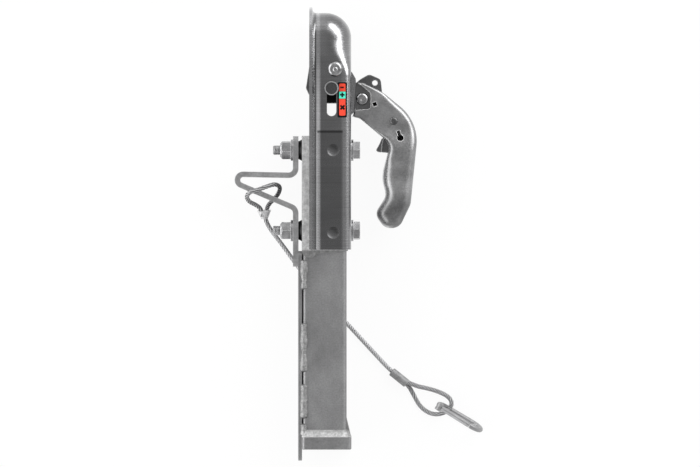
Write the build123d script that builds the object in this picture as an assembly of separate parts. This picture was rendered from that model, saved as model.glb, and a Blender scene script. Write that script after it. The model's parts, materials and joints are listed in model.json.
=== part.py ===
from build123d import *
import os
from math import atan2, degrees, pi, radians, sqrt, tan

# A trailer ball coupler with its draw tube, lying on its side.
# The origin is the centre of the tow ball. +Y is the towing direction, +X is the coupler's upper side,
# where the handle stands, and Z is across the coupler. All sizes are in millimetres.

# Ball socket and pressed head
ball_diameter = 50.0
socket_play = 0.2
sheet = 3.5
head_rear_y = -236.2
widening_length = 42.0
crown_radius = 9.0
flange_drop = 14.6
flange_reach = 6.4
flange_bend_radius = 4.0

# Recessed side panel, dimples and side slot
panel_front_y = -103.5
panel_low_x = -9.5
panel_high_x = 19.6
panel_recess = 1.0
dimple_diameter = 13.7
dimple_depth = 1.4
dimple_x = 8.7
dimple_pitch = 92.2
side_slot_width = 10.6
side_slot_length = 36.3

# Top slot and its raised rim
top_slot_half_width = 10.6
top_slot_front_y = -44.5
top_slot_rear_y = -84.5
rim_sheet = 2.5
rim_height = 5.3

# Jaw
jaw_pivot_x = 10.8
jaw_pivot_y = -34.8
jaw_rivet_diameter = 10.0
jaw_head_diameter = 17.0
jaw_half_width = 24.0
jaw_eye_radius = 9.0
jaw_drop = 7.2

# Locking wedge, cross pin and button
pin_diameter = 10.0
pin_x = 6.8
pin_y = -56.3
wedge_half_width = 22.0
wedge_front = 10.3
wedge_rear = 16.0
wedge_wall = 3.0
wedge_angle = 17.0
lock_travel = 25.0
button_diameter = 16.3
button_height = 4.8

# Main spring and its seat
spring_outer_diameter = 11.4
spring_inner_diameter = 8.2
spring_x = 18.6
seat_thickness = 3.0
guide_length = 8.0

# Handle pivot, yoke and driving arm
handle_pivot_x = 41.1
handle_pivot_y = -67.7
handle_rivet_diameter = 9.0
handle_head_diameter = 14.0
cheek_sheet = 3.0
arm_thickness = 8.0
arm_half_height = 5.5
padlock_hole_diameter = 6.0
padlock_x = 55.3
padlock_y = -49.7
cheek_radius = 16.3
handle_opening_angle = 40.0

# Handle shell
shell_sheet = 2.5
shell_root_half_width = 10.1
shell_grip_half_width = 16.5
shell_edge_radius = 5.0

# Trigger
trigger_pivot_x = 76.2
trigger_pivot_y = -92.4
trigger_rivet_diameter = 5.0
trigger_head_diameter = 9.0
trigger_sheet = 1.8
trigger_pad_half_width = 8.0

# Draw tube, liner, backing bar and foot
tube_size = 50.0
tube_wall = 3.0
tube_corner_radius = 5.0
tube_front_y = -109.2
foot_face_y = -445.5
liner_sheet = 1.5
liner_rear_y = -244.9
bar_thickness = 4.0
bar_front_y = -238.0
bar_rear_y = -472.0
foot_thickness = 13.8
foot_high_x = 29.0
foot_corner_radius = 4.0
weld_bead_radius = 4.2
foot_weld_leg = 5.0
foot_weld_height = 8.0
foot_weld_run = 21.0

# Bolts
bolt_diameter = 12.0
bolt_hole_diameter = 13.0
bolt_length = 90.0
bolt_front_y = -125.0
bolt_spacing = 90.0
hex_across_flats = 19.0
bolt_head_height = 7.5
nut_height = 12.0
washer_diameter = 24.0
washer_thickness = 2.5

# Cable bracket, a bent flat bar
strap_thickness = 6.0
strap_width = 25.0
strap_front_y = -109.4
strap_rear_y = -255.4

# Safety cable, its ferrules and its snap hook
cable_diameter = 5.0
hook_ferrule_width = 9.7
hook_ferrule_height = 12.2
hook_ferrule_length = 22.0
hook_wire_diameter = 6.0
hook_length = 60.0
hook_centre_pitch = 24.0
hook_lug_thickness = 3.0
hook_mouth_edge = 12.5
hook_hinge_edge = 1.6
hook_bend_radius = 11.8
hook_hinge_height = 6.5
gate_pin_diameter = 2.5

# Clearances
fit = 0.05
running = 0.08
clear = 0.3

# Places worked out from the sizes above
body_half_width = tube_size / 2 + liner_sheet + 2 * fit + sheet + panel_recess
socket_radius = ball_diameter / 2 + socket_play
dome_radius = socket_radius + sheet
top_x = dome_radius
top_inner_x = socket_radius
flange_x = -flange_drop
mouth_x = flange_x - sheet
floor_z = -(body_half_width + flange_reach)
tube_half = tube_size / 2
tube_high_x = top_inner_x - liner_sheet - 2 * fit
tube_low_x = tube_high_x - tube_size
tube_x = (tube_high_x + tube_low_x) / 2
bar_low_x = tube_low_x - bar_thickness
strap_x = bar_low_x - strap_thickness / 2
bolt_ys = [bolt_front_y, bolt_front_y - bolt_spacing]
cheek_inner_z = arm_thickness / 2 + clear
cheek_outer_z = cheek_inner_z + cheek_sheet
side_slot_front_y = pin_y + side_slot_width / 2
arm_angle = degrees(atan2(pin_y - handle_pivot_y, handle_pivot_x - pin_x))
wedge_front_y = pin_y + wedge_front
wedge_rear_y = pin_y - wedge_rear
wedge_top_x = top_inner_x - clear
wedge_front_low_x = 1.0
spring_seat_y = tube_front_y + seat_thickness

from_top = Plane(origin=(0, 0, 0), x_dir=(0, 1, 0), z_dir=(1, 0, 0))


def across(y):
    """The plane across the coupler at a place along it, with X up and Z to the side."""
    return Plane(origin=(0, y, 0), x_dir=(1, 0, 0), z_dir=(0, -1, 0))


def outline(points, radii):
    """A closed flat outline with a fillet radius at each of its corners."""
    return make_face(FilletPolyline(*points, radius=radii, close=True))


def plate(face, half_width):
    """A flat outline in the side view, as wide as twice half_width, about the middle plane."""
    return extrude(face, amount=half_width, both=True)


def block(low, high):
    """A box between two corners."""
    size = [b - a for a, b in zip(low, high)]
    centre = [(a + b) / 2 for a, b in zip(low, high)]
    return Pos(*centre) * Box(*size)


def across_pin(x, y, radius, low_z, high_z):
    """A round bar along Z."""
    return Pos(x, y, (low_z + high_z) / 2) * Cylinder(radius, high_z - low_z)


def along_x(y, z, radius, low_x, high_x):
    """A round bar along X."""
    return Pos((low_x + high_x) / 2, y, z) * Rot(0, 90, 0) * Cylinder(radius, high_x - low_x)


def along_y(x, z, radius, low_y, high_y):
    """A round bar along Y."""
    return Pos(x, (low_y + high_y) / 2, z) * Rot(90, 0, 0) * Cylinder(radius, high_y - low_y)


def mirrored(shape):
    """The same piece on the other side of the middle plane."""
    return mirror(shape, about=Plane.XY)


def hat_corners(half_width, crown, spread=0.0):
    """Corners and radii of one half of the pressed section, from the crown round the flange and back."""
    outer = half_width + spread
    corners = [
        (top_x + spread, outer),
        (flange_x, outer),
        (flange_x, half_width + flange_reach),
        (mouth_x, half_width + flange_reach),
        (mouth_x, half_width - sheet),
        (top_inner_x, half_width - sheet),
    ]
    bend = flange_bend_radius
    radii = [crown + spread, bend, 0, 0, bend + sheet, crown - sheet]
    return corners, radii


def hat_section(y, half_width, crown):
    """The pressed sheet's whole section across the head at a place along it."""
    corners, radii = hat_corners(half_width, crown)
    other = [(x, -z) for x, z in reversed(corners)]
    face = outline(corners + other, radii + radii[::-1])
    return across(y) * face


def widening(share):
    """How far the section has changed from the round nose to the body, eased at both ends."""
    return share * share * (3 - 2 * share)


def nose_crown():
    return dome_radius - 0.1


def section_at(share):
    """The section between the round nose and the parallel body."""
    eased = widening(share)
    half_width = dome_radius + (body_half_width - dome_radius) * eased
    crown = nose_crown() + (crown_radius - nose_crown()) * eased
    return hat_section(-widening_length * share, half_width, crown)


def nose():
    """The dome over the ball with its flange, turned from half the section."""
    corners, radii = hat_corners(dome_radius, nose_crown())
    face = outline([(top_x, 0)] + corners + [(top_inner_x, 0)], [0] + radii + [0])
    return revolve(across(0) * face, axis=Axis((0, 0, 0), (-1, 0, 0)), revolution_arc=180)


def side_slot():
    """The long hole through both side walls, in which the cross pin runs."""
    middle_y = side_slot_front_y - side_slot_length / 2
    slot = Pos(pin_x, middle_y) * Rot(0, 0, 90) * SlotOverall(side_slot_length, side_slot_width)
    return plate(slot, body_half_width + sheet)


def panel_steps():
    """The inward step of both side walls behind the joggle: what comes off outside and goes on inside."""
    rear = head_rear_y
    front_edge = [(panel_low_x, panel_front_y), (panel_high_x, panel_front_y)]
    rear_edge = [(panel_high_x, rear), (panel_low_x, rear)]
    face = outline(front_edge + rear_edge, [2.5, 2.5, 0, 0])
    outside = Pos(0, 0, body_half_width - panel_recess) * extrude(face, amount=panel_recess)
    inside = Pos(0, 0, body_half_width - sheet - panel_recess) * extrude(face, amount=panel_recess)
    return outside, inside


def dimples():
    """The round hollows pressed into each side panel, near the bolts."""
    face_z = body_half_width - panel_recess
    ball = (dimple_diameter**2 / 4 + dimple_depth**2) / (2 * dimple_depth)
    places = [bolt_front_y - 0.2, bolt_front_y - 0.2 - dimple_pitch]
    return [Pos(dimple_x, y, face_z + ball - dimple_depth) * Sphere(ball) for y in places]


def slot_rim():
    """The edge of the top slot, drawn up into a rim that is highest at the front."""
    front, rear = top_slot_front_y + rim_sheet, top_slot_rear_y - rim_sheet
    low_x = top_x - sheet / 2
    side = [
        (low_x, front + 4.5),
        (top_x + 0.6, front + 4.5),
        (top_x + rim_height * 0.85, front - 2.1),
        (top_x + rim_height, front - 6.4),
        (top_x + rim_height * 0.6, rear + 10.5),
        (top_x + rim_height * 0.5, rear + 4.0),
        (low_x, rear),
    ]
    return plate(outline(side, [0, 0, 2.0, 3.0, 3.0, 1.5, 0]), top_slot_half_width + rim_sheet)


def top_slot():
    """The hole through the crown and the rim for the yoke and the driving arm."""
    half = top_slot_half_width
    low = (top_inner_x - sheet, top_slot_rear_y, -half)
    high = (top_x + 4 * rim_height, top_slot_front_y, half)
    return block(low, high)


def coupler_housing():
    stations = [section_at(step / 4) for step in range(5)]
    front = loft(stations)
    run = hat_section(-widening_length, body_half_width, crown_radius)
    rear = extrude(run, amount=-head_rear_y - widening_length, dir=(0, -1, 0))
    body = nose() + front + rear
    outside, inside = panel_steps()
    body = body - outside - mirrored(outside) + inside + mirrored(inside)
    body = body + slot_rim() - top_slot() - side_slot()
    for hollow in dimples():
        body = body - hollow - mirrored(hollow)
    body -= across_pin(jaw_pivot_x, jaw_pivot_y, jaw_rivet_diameter / 2 + fit, -40, 40)
    for y in bolt_ys:
        body -= along_x(y, 0, bolt_hole_diameter / 2, top_inner_x - sheet, top_x + sheet)
    return body


def domed_head(radius, height, z):
    """A low rounded rivet head that stands on the plane z."""
    ball = (radius**2 + height**2) / (2 * height)
    head = Pos(0, 0, height - ball) * Sphere(ball)
    return Pos(0, 0, z) * (head & Pos(0, 0, height / 2) * Cylinder(radius, height))


def rivet(x, y, shaft, head, height, seat_z):
    """A rivet along Z with a domed head on each side."""
    cap = domed_head(head / 2, height, seat_z)
    return Pos(x, y, 0) * (Cylinder(shaft / 2, 2 * seat_z) + cap + mirrored(cap))


def jaw_pivot_rivet():
    return rivet(jaw_pivot_x, jaw_pivot_y, jaw_rivet_diameter, jaw_head_diameter, 4.6, body_half_width)


def ramp_x(y):
    """The height of the wedge's sloping underside."""
    return wedge_front_low_x + (y - wedge_front_y) * tan(radians(wedge_angle))


def ball_jaw():
    """The claw behind the ball: hollowed for it, with an eye for the rivet and a ramp under the wedge."""
    bottom_x = mouth_x - 3.7
    toe = mouth_x + 2.6
    ramp_front_y, ramp_rear_y = wedge_front_y, wedge_front_y - 12.0
    side = [
        (4.5, jaw_pivot_y + 17.3),
        (toe, jaw_pivot_y + 17.3),
        (mouth_x + 0.6, jaw_pivot_y + jaw_drop),
        (bottom_x, jaw_pivot_y - 21.1),
        (mouth_x - 0.4, jaw_pivot_y - 28.4),
        (ramp_x(ramp_rear_y) - clear, ramp_rear_y),
        (ramp_x(ramp_front_y) - clear, ramp_front_y),
        (jaw_pivot_x - 4.0, jaw_pivot_y - jaw_eye_radius + 1.0),
        (jaw_pivot_x, jaw_pivot_y + 4.0),
    ]
    claw = plate(outline(side, [0, 2, 3, 2.5, 2, 2.5, 1, 0, 0]), jaw_half_width)
    eye = across_pin(jaw_pivot_x, jaw_pivot_y, jaw_eye_radius, -jaw_half_width, jaw_half_width)
    bore_radius = jaw_rivet_diameter / 2 + running
    bore = across_pin(jaw_pivot_x, jaw_pivot_y, bore_radius, -jaw_half_width, jaw_half_width)
    return claw + eye - Sphere(socket_radius) - bore


def arm_slot_in_wedge():
    """The gap in the middle of the wedge for the fork of the driving arm."""
    half = arm_thickness / 2 + 2 * clear
    low = (wedge_front_low_x - 1.6, wedge_rear_y + wedge_wall, -half)
    high = (wedge_top_x + sheet, wedge_front_y + wedge_wall, half)
    return block(low, high)


def locking_wedge():
    """The wedge that slides under the crown and holds the jaw down."""
    side = [
        (ramp_x(wedge_front_y), wedge_front_y),
        (wedge_top_x, wedge_front_y),
        (wedge_top_x, wedge_rear_y),
        (ramp_x(wedge_rear_y), wedge_rear_y),
    ]
    body = plate(outline(side, [1, 2, 2, 2]), wedge_half_width)
    bore = across_pin(pin_x, pin_y, pin_diameter / 2 + fit, -wedge_half_width, wedge_half_width)
    return body - arm_slot_in_wedge() - bore


def button_seat_z():
    return body_half_width + 2 * clear


def indicator_pin():
    """The cross pin through the wedge and both side slots, with a plain collar on the far side."""
    reach = button_seat_z()
    pin = across_pin(pin_x, pin_y, pin_diameter / 2, -reach - 3.0, reach)
    collar = across_pin(pin_x, pin_y, pin_diameter / 2 + 2.2, -reach - 3.0, -reach)
    return pin + collar


def indicator_button():
    """The rounded button on the pin's near end."""
    radius = button_diameter / 2
    disc = across_pin(pin_x, pin_y, radius, button_seat_z(), button_seat_z() + button_height)
    top_edges = disc.edges().filter_by(GeomType.CIRCLE).sort_by(Axis.Z)[-1:]
    return fillet(top_edges, 2.2)


def indicator_label():
    """The sticker beside the slot, which follows the rounded corner of the wall."""
    skin = 0.25
    low_x, high_x, front, rear = 13.4, 24.1, -49.5, -88.9
    corners, radii = hat_corners(body_half_width, crown_radius, skin)
    cover = outline([(0, corners[0][1]), corners[0], (top_x + skin, 0), (0, 0)], [0, radii[0], 0, 0])
    corners, radii = hat_corners(body_half_width, crown_radius)
    wall = outline([(0, corners[0][1]), corners[0], (top_x, 0), (0, 0)], [0, radii[0], 0, 0])
    bend = extrude(across(front) * (cover - wall), amount=front - rear, dir=(0, -1, 0))
    face = outline([(low_x, front), (high_x, front), (high_x, rear), (low_x, rear)], [1.6, 1.6, 1.6, 1.6])
    return bend & Pos(0, 0, body_half_width - crown_radius) * extrude(face, amount=2 * crown_radius)


def main_spring():
    """The compression spring's outer shape, between the wedge and its seat."""
    outer, inner = spring_outer_diameter / 2, spring_inner_diameter / 2
    low, high = spring_seat_y, wedge_rear_y
    return along_y(spring_x, 0, outer, low, high) - along_y(spring_x, 0, inner, low, high)


def spring_seat():
    """The cross plate in front of the draw tube, with a stud that guides the spring."""
    reach = body_half_width - sheet - panel_recess - fit
    low_x, high_x = spring_x - 9.0, top_inner_x - fit
    bend = crown_radius - sheet + panel_recess
    inner = outline([(low_x, reach), (high_x, reach), (high_x, -reach), (low_x, -reach)], [0, bend, bend, 0])
    plate_body = extrude(across(spring_seat_y) * inner, amount=seat_thickness, dir=(0, -1, 0))
    guide_radius = spring_inner_diameter / 2 - clear
    guide = along_y(spring_x, 0, guide_radius, spring_seat_y, spring_seat_y + guide_length)
    return plate_body + guide


def cheek_outline():
    """The yoke's cheek: a foot in the slot, a round edge about the pivot and a lug with the padlock hole."""
    foot = [
        (top_inner_x, top_slot_front_y),
        (top_x + rim_height, top_slot_front_y),
        (top_x + rim_height, top_slot_rear_y + 3.0),
        (top_x, top_slot_rear_y),
        (top_inner_x, top_slot_rear_y),
    ]
    lug = [
        (33.0, -50.5),
        (39.0, -45.6),
        (48.8, -40.0),
        (62.0, -45.8),
        (62.8, -55.0),
        (63.4, -59.8),
        (56.4, -64.2),
        (46.0, -68.0),
        (36.0, -62.0),
    ]
    face = outline(foot, [0, 2.0, 4.0, 0, 0]) + outline(lug, [0, 6, 6, 6, 4, 0.8, 0, 0, 0])
    return face + Pos(handle_pivot_x, handle_pivot_y) * Circle(cheek_radius)


def pivot_yoke():
    """Two cheeks joined by a bridge at the front and one at the rear, set in the top slot."""
    gap = plate(Pos(45, -60) * Rectangle(60, 60), cheek_inner_z)
    cheeks = plate(cheek_outline(), cheek_outer_z) - gap
    bridge_top = top_x + rim_height - 0.4
    front = block(
        (top_inner_x, top_slot_front_y - cheek_sheet, -top_slot_half_width),
        (bridge_top, top_slot_front_y, top_slot_half_width),
    )
    rear = block(
        (top_inner_x, top_slot_rear_y, -top_slot_half_width),
        (top_x + 1.0, top_slot_rear_y + cheek_sheet, top_slot_half_width),
    )
    reach = cheek_outer_z + sheet
    pivot = across_pin(handle_pivot_x, handle_pivot_y, handle_rivet_diameter / 2 + fit, -reach, reach)
    padlock = across_pin(padlock_x, padlock_y, padlock_hole_diameter / 2, -reach, reach)
    below = block((0, -120, -40), (top_inner_x, 0, 40))
    return cheeks + front + rear - pivot - padlock - below


def handle_pivot_rivet():
    shank, head = handle_rivet_diameter, handle_head_diameter
    return rivet(handle_pivot_x, handle_pivot_y, shank, head, 3.8, cheek_outer_z)


handle_corners = [
    ((35.5, -49.7), 0),
    ((42.0, -49.7), 0),
    ((64.0, -60.2), 40),
    ((104.6, -93.1), 50),
    ((95.3, -185.5), 15),
    ((82.5, -212.3), 13),
    ((66.3, -212.3), 12),
    ((55.0, -196.5), 11),
    ((68.0, -176.0), 14),
    ((62.3, -155.5), 40),
    ((72.3, -117.9), 14),
    ((38.5, -89.4), 10),
    ((30.2, -87.4), 0),
    ((32.8, -79.6), 0),
]


def inward(start, end):
    """The unit vector that points into the handle from one straight of its outline."""
    dx, dy = end[0] - start[0], end[1] - start[1]
    length = sqrt(dx * dx + dy * dy)
    return dy / length, -dx / length


def handle_face(inset):
    """The handle in the side view, or the same outline moved inwards."""
    places = [place for place, radius in handle_corners]
    moved, radii = [], []
    for before, (here, radius), after in zip(places[-1:] + places, handle_corners, places[1:] + places[:1]):
        (ax, ay), (bx, by) = inward(before, here), inward(here, after)
        share = inset / (1 + ax * bx + ay * by)
        moved.append((here[0] + (ax + bx) * share, here[1] + (ay + by) * share))
        convex = ax * by - ay * bx < 0
        radii.append(0 if radius == 0 else radius - inset if convex else radius + inset)
    return outline(moved, radii)


def width_envelope(inset):
    """The handle seen from above: narrow at the root, wide at the grip."""
    root = shell_root_half_width - inset
    grip = shell_grip_half_width - inset
    half = [(-40, root), (-99, root), (-126, grip), (-220, grip)]
    other = [(y, -z) for y, z in reversed(half)]
    face = outline(half + other, [0, 8, 8, 0, 0, 8, 8, 0])
    return Pos(20, 0, 0) * extrude(from_top * face, amount=100)


def handle_form(inset):
    """The handle's rounded outer form, or the hollow inside it when inset by the sheet."""
    solid = plate(handle_face(inset), shell_grip_half_width) & width_envelope(inset)
    return fillet([e for e in solid.edges() if is_long_edge(e)], shell_edge_radius - inset * 0.8)


def is_long_edge(edge):
    """Whether an edge runs round the handle's side faces and not across its width."""
    start, end = edge @ 0, edge @ 1
    same_side = abs(start.Z) > 4 and start.Z * end.Z > 0
    clear_of_root = min(start.X, end.X) > 30.0 and max(start.X, end.X) > 43.0
    across_width = abs(start.X - end.X) < 1e-6 and abs(start.Y - end.Y) < 1e-6
    return same_side and clear_of_root and not across_width


def handle_openings():
    """What is open in the shell: the notch at the rivet, the lug's slot, the underside and the holes."""
    notch = outline(
        [(20, -49.0), (35.2, -49.0), (50.5, -61.0), (50.5, -79.3), (20, -79.3)],
        [0, 0, 7, 4, 0],
    )
    notch_cut = plate(notch, shell_grip_half_width)
    lug_slot = outline([(30, -44), (46, -44), (75.0, -61.5), (69.5, -72.0), (40, -62)], [0, 0, 0, 3, 0])
    lug_cut = plate(lug_slot, cheek_outer_z + clear)
    underside = [(24, -74), (44, -76), (62, -98), (74, -116), (74, -130), (60, -130), (24, -100)]
    under_cut = plate(outline(underside, [0, 0, 8, 5, 3, 0, 0]), shell_root_half_width - shell_sheet)
    diamond = Pos(55.2, -73.7) * Rot(0, 0, 20) * Rectangle(4.4, 4.4)
    keyhole = Pos(83.7, -111.2) * Circle(3.7)
    slot = Pos(82.4, -107.2) * Rot(0, 0, 17) * Rectangle(3.6, 8.4)
    near = Pos(0, 0, 1) * extrude(keyhole + slot, amount=shell_grip_half_width)
    return [notch_cut, lug_cut, under_cut, plate(diamond, shell_grip_half_width), near]


def handle_shell():
    shell = handle_form(0) - handle_form(shell_sheet)
    for opening in handle_openings():
        shell -= opening
    radius = trigger_rivet_diameter / 2 + fit
    reach = shell_grip_half_width
    return shell - across_pin(trigger_pivot_x, trigger_pivot_y, radius, -reach, reach)


def handle_drive_arm():
    """The lever in the handle: a fork on the cross pin, an eye on the rivet and a tail under the shell."""
    pivot = Pos(handle_pivot_x, handle_pivot_y)
    direction = Rot(0, 0, 180 - arm_angle)
    prong = 4.0
    gap = pin_diameter / 2 + 0.6
    fork_start, fork_end = 27.0, 40.0
    bar = Pos(fork_start / 2, 0) * Rectangle(fork_start, 2 * arm_half_height)
    fork_length = fork_end - fork_start
    fork = Pos((fork_start + fork_end) / 2, 0) * RectangleRounded(fork_length, 2 * (gap + prong), 2.5)
    mouth = Pos(36.0, 0) * SlotOverall(16.0, 2 * gap) + Pos(42.0, 0) * Rectangle(12.0, 2 * gap)
    lever = pivot * (direction * (bar + fork - mouth) + Circle(10.0))
    tail = make_hull((pivot * Circle(9.5) + Pos(trigger_pivot_x, trigger_pivot_y) * Circle(7.0)).edges())
    crest = outline([(62, -72), (70.5, -65.5), (88.0, -79.0), (84, -92)], [0, 0, 4, 0])
    arm = plate(lever + tail, arm_thickness / 2)
    arm += plate(crest, arm_thickness / 2) & handle_form(shell_sheet)
    arm -= across_pin(handle_pivot_x, handle_pivot_y, handle_rivet_diameter / 2 + running, -10, 10)
    return arm - across_pin(trigger_pivot_x, trigger_pivot_y, trigger_rivet_diameter / 2 + fit, -10, 10)


def trigger_pivot_rivet():
    shank, head = trigger_rivet_diameter, trigger_head_diameter
    return rivet(trigger_pivot_x, trigger_pivot_y, shank, head, 2.4, shell_root_half_width)


def trigger():
    """The catch in the handle: two side plates about the arm's tail, joined by the finger pad."""
    dx, dy = trigger_pivot_x - handle_pivot_x, trigger_pivot_y - handle_pivot_y
    length = sqrt(dx * dx + dy * dy)
    nose_x = handle_pivot_x + dx / length * (cheek_radius + clear + 1.6)
    nose_y = handle_pivot_y + dy / length * (cheek_radius + clear + 1.6)
    pivot = Pos(trigger_pivot_x, trigger_pivot_y) * Circle(6.0)
    hook = make_hull((pivot + Pos(nose_x, nose_y) * Circle(1.6)).edges())
    rear_side = [(70.8, -92.0), (82.0, -92.0), (80.0, -106.0), (73.4, -121.0)]
    finger_side = [(70.9, -128.0), (61.5, -127.3), (62.5, -112.8), (68.5, -108.0)]
    body = outline(rear_side + finger_side, [0, 0, 12, 10, 2, 1, 1, 5])
    inner = arm_thickness / 2 + clear + fit
    side = plate(hook + body, inner + trigger_sheet) - plate(hook + body, inner)
    pad_face = [(64.8, -112.2), (62.9, -111.8), (60.4, -118.0), (56.4, -125.0)]
    pad_back = [(58.6, -127.0), (62.5, -127.6), (63.0, -119.5)]
    pad = outline(pad_face + pad_back, [0.6, 0.6, 9, 0.8, 1, 0.5, 9])
    catch = side + plate(pad, trigger_pad_half_width)
    return catch - across_pin(trigger_pivot_x, trigger_pivot_y, trigger_rivet_diameter / 2 + running, -20, 20)


def trigger_spring():
    """The coil of the trigger's return spring, round its rivet beside the near side plate."""
    low = arm_thickness / 2 + clear + fit + trigger_sheet + fit
    high = shell_root_half_width - shell_sheet - fit
    ring = across_pin(trigger_pivot_x, trigger_pivot_y, 4.6, low, high)
    return ring - across_pin(trigger_pivot_x, trigger_pivot_y, trigger_rivet_diameter / 2 + 0.3, low, high)


def draw_tube():
    outer = Pos(tube_x, 0) * RectangleRounded(tube_size, tube_size, tube_corner_radius)
    inner_size = tube_size - 2 * tube_wall
    inner = Pos(tube_x, 0) * RectangleRounded(inner_size, inner_size, tube_corner_radius - tube_wall)
    tube = extrude(across(tube_front_y) * (outer - inner), amount=tube_front_y - foot_face_y, dir=(0, -1, 0))
    for y in bolt_ys:
        tube -= along_x(y, 0, bolt_hole_diameter / 2, tube_low_x - 1, tube_high_x + 1)
    return tube


def tube_liner():
    """The channel that fills the space between the tube and the wider head."""
    half = tube_half + fit
    low_x = tube_low_x + clear
    high_x = tube_high_x + liner_sheet
    web_in = tube_high_x
    section = [
        (low_x, half),
        (web_in, half),
        (web_in, -half),
        (low_x, -half),
        (low_x, -half - liner_sheet),
        (high_x, -half - liner_sheet),
        (high_x, half + liner_sheet),
        (low_x, half + liner_sheet),
    ]
    bend = crown_radius - sheet
    face = outline(section, [0, bend - liner_sheet, bend - liner_sheet, 0, 0, bend, bend, 0])
    channel = extrude(across(tube_front_y) * face, amount=tube_front_y - liner_rear_y, dir=(0, -1, 0))
    front = [(low_x, tube_front_y), (high_x, tube_front_y)]
    step = [(low_x + 16.1, liner_rear_y + 4.0), (low_x + 12.1, liner_rear_y)]
    rear = [(high_x, liner_rear_y + 7.0)] + step + [(low_x, liner_rear_y)]
    side = outline(front + rear, [2, 0, 0, 6, 4, 6])
    channel &= plate(side, body_half_width)
    for y in bolt_ys:
        channel -= along_x(y, 0, bolt_hole_diameter / 2, tube_high_x - 1, top_x)
    return channel


def backing_bar():
    """The flat bar welded under the tube, which runs on past the foot plate."""
    length = bar_front_y - bar_rear_y
    face = Pos((bar_front_y + bar_rear_y) / 2, 0) * RectangleRounded(length, tube_size, 6.0)
    return Pos(bar_low_x, 0, 0) * extrude(from_top * face, amount=bar_thickness)


def foot_plate():
    """The thick plate that closes the tube's rear end."""
    width = -2 * floor_z
    height = foot_high_x - tube_low_x
    face = Pos((foot_high_x + tube_low_x) / 2, 0) * RectangleRounded(height, width, foot_corner_radius)
    foot = extrude(across(foot_face_y) * face, amount=foot_thickness, dir=(0, -1, 0))
    rear = foot.faces().sort_by(Axis.Y)[0]
    return fillet(rear.edges(), 1.5)


def plate_welds():
    """Stitch welds in the grooves between the tube's corners and the backing bar."""
    stitches = [(-247.5, -281.0), (-318.5, -372.5), (-387.0, -424.6)]
    stitches += [(-430.0, foot_face_y + foot_weld_height)]
    bead = Pos(tube_low_x + 2.4, tube_half - 2.2) * Circle(weld_bead_radius)
    bead -= Pos(tube_x, 0) * RectangleRounded(tube_size, tube_size, tube_corner_radius)
    bead -= Pos(tube_low_x - 20, tube_half) * Rectangle(40, 40)
    beads = []
    for front, rear in stitches:
        run = extrude(across(front) * bead, amount=front - rear, dir=(0, -1, 0))
        beads += [run, mirrored(run)]
    return beads


def foot_weld():
    """The fillet weld round the tube on the foot plate, drawn out along the tube's upper side."""
    leg = foot_weld_leg
    toe = tube_size + 2 * leg
    base = Pos(tube_x, 0) * RectangleRounded(toe, toe, tube_corner_radius + leg)
    top = Pos(tube_x, 0) * RectangleRounded(tube_size + 0.4, tube_size + 0.4, tube_corner_radius + 0.2)
    hub = loft([across(foot_face_y) * base, across(foot_face_y + foot_weld_height) * top])
    tube = Pos(tube_x, 0) * RectangleRounded(tube_size, tube_size, tube_corner_radius)
    hub -= extrude(across(foot_face_y) * tube, amount=foot_weld_height + 1, dir=(0, 1, 0))
    hub -= block((-60, foot_face_y - 1, -60), (tube_low_x, foot_face_y + foot_weld_height + 1, 60))
    high_x, run = tube_high_x, foot_face_y + foot_weld_run
    side = [(high_x, foot_face_y), (high_x + leg, foot_face_y), (high_x + 1.6, run - 7.0), (high_x, run)]
    return hub + plate(outline(side, [0, 0, 0, 0]), tube_half - tube_corner_radius)


def hexagon(y, low_x, high_x, turn):
    """A hexagonal head or nut along X."""
    radius = hex_across_flats / 2
    face = from_top * (Pos(y, 0) * Rot(0, 0, turn) * RegularPolygon(radius, 6, major_radius=False))
    body = Pos(low_x, 0, 0) * extrude(face, amount=high_x - low_x)
    return body


def chamfer_cone(y, low_x, high_x, at_low):
    """The cone that takes the corners off one end of a hexagon."""
    corner = hex_across_flats / sqrt(3)
    small, large = hex_across_flats / 2 - 0.3, corner + high_x - low_x
    cone = Cone(large, small, high_x - low_x)
    turn = -90 if at_low else 90
    return Pos((low_x + high_x) / 2, y, 0) * Rot(0, turn, 0) * cone


def coupler_bolts():
    seat = top_x + washer_thickness
    bolts = []
    for y, turn in zip(bolt_ys, (30, 23)):
        top = seat + bolt_head_height
        head = hexagon(y, seat, top, turn) & chamfer_cone(y, seat - 6, top, False)
        shank = along_x(y, 0, bolt_diameter / 2, seat - bolt_length, seat)
        end = shank.edges().filter_by(GeomType.CIRCLE).sort_by(Axis.X)[:1]
        bolts.append(head + chamfer(end, 1.0))
    return bolts


def nut_low_x():
    return bar_low_x - strap_thickness - washer_thickness - nut_height


def lock_nuts():
    nuts = []
    for y, turn in zip(bolt_ys, (38, 30)):
        low, high = nut_low_x(), nut_low_x() + nut_height
        body = hexagon(y, low + 3.0, high, turn) & chamfer_cone(y, low, high + 6, True)
        collar = along_x(y, 0, hex_across_flats / 2 - 1.2, low, low + 3.0)
        edge = collar.edges().filter_by(GeomType.CIRCLE).sort_by(Axis.X)[:1]
        nuts.append(body + fillet(edge, 1.2) - along_x(y, 0, bolt_diameter / 2 + fit, low, high))
    return nuts


def washers(low_x):
    rings = []
    for y in bolt_ys:
        ring = along_x(y, 0, washer_diameter / 2, low_x, low_x + washer_thickness)
        rings.append(ring - along_x(y, 0, bolt_diameter / 2 + fit, low_x, low_x + washer_thickness))
    return rings


def spacer_washers():
    """Coned black spacers as thick as the backing bar, between the tube and the bracket."""
    rings = []
    middle_x = (bar_low_x + tube_low_x) / 2
    for y in bolt_ys:
        cone = Pos(middle_x, y, 0) * Rot(0, 90, 0) * Cone(10.0, washer_diameter / 2, bar_thickness)
        rings.append(cone - along_x(y, 0, bolt_diameter / 2 + fit, bar_low_x, tube_low_x))
    return rings


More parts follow.
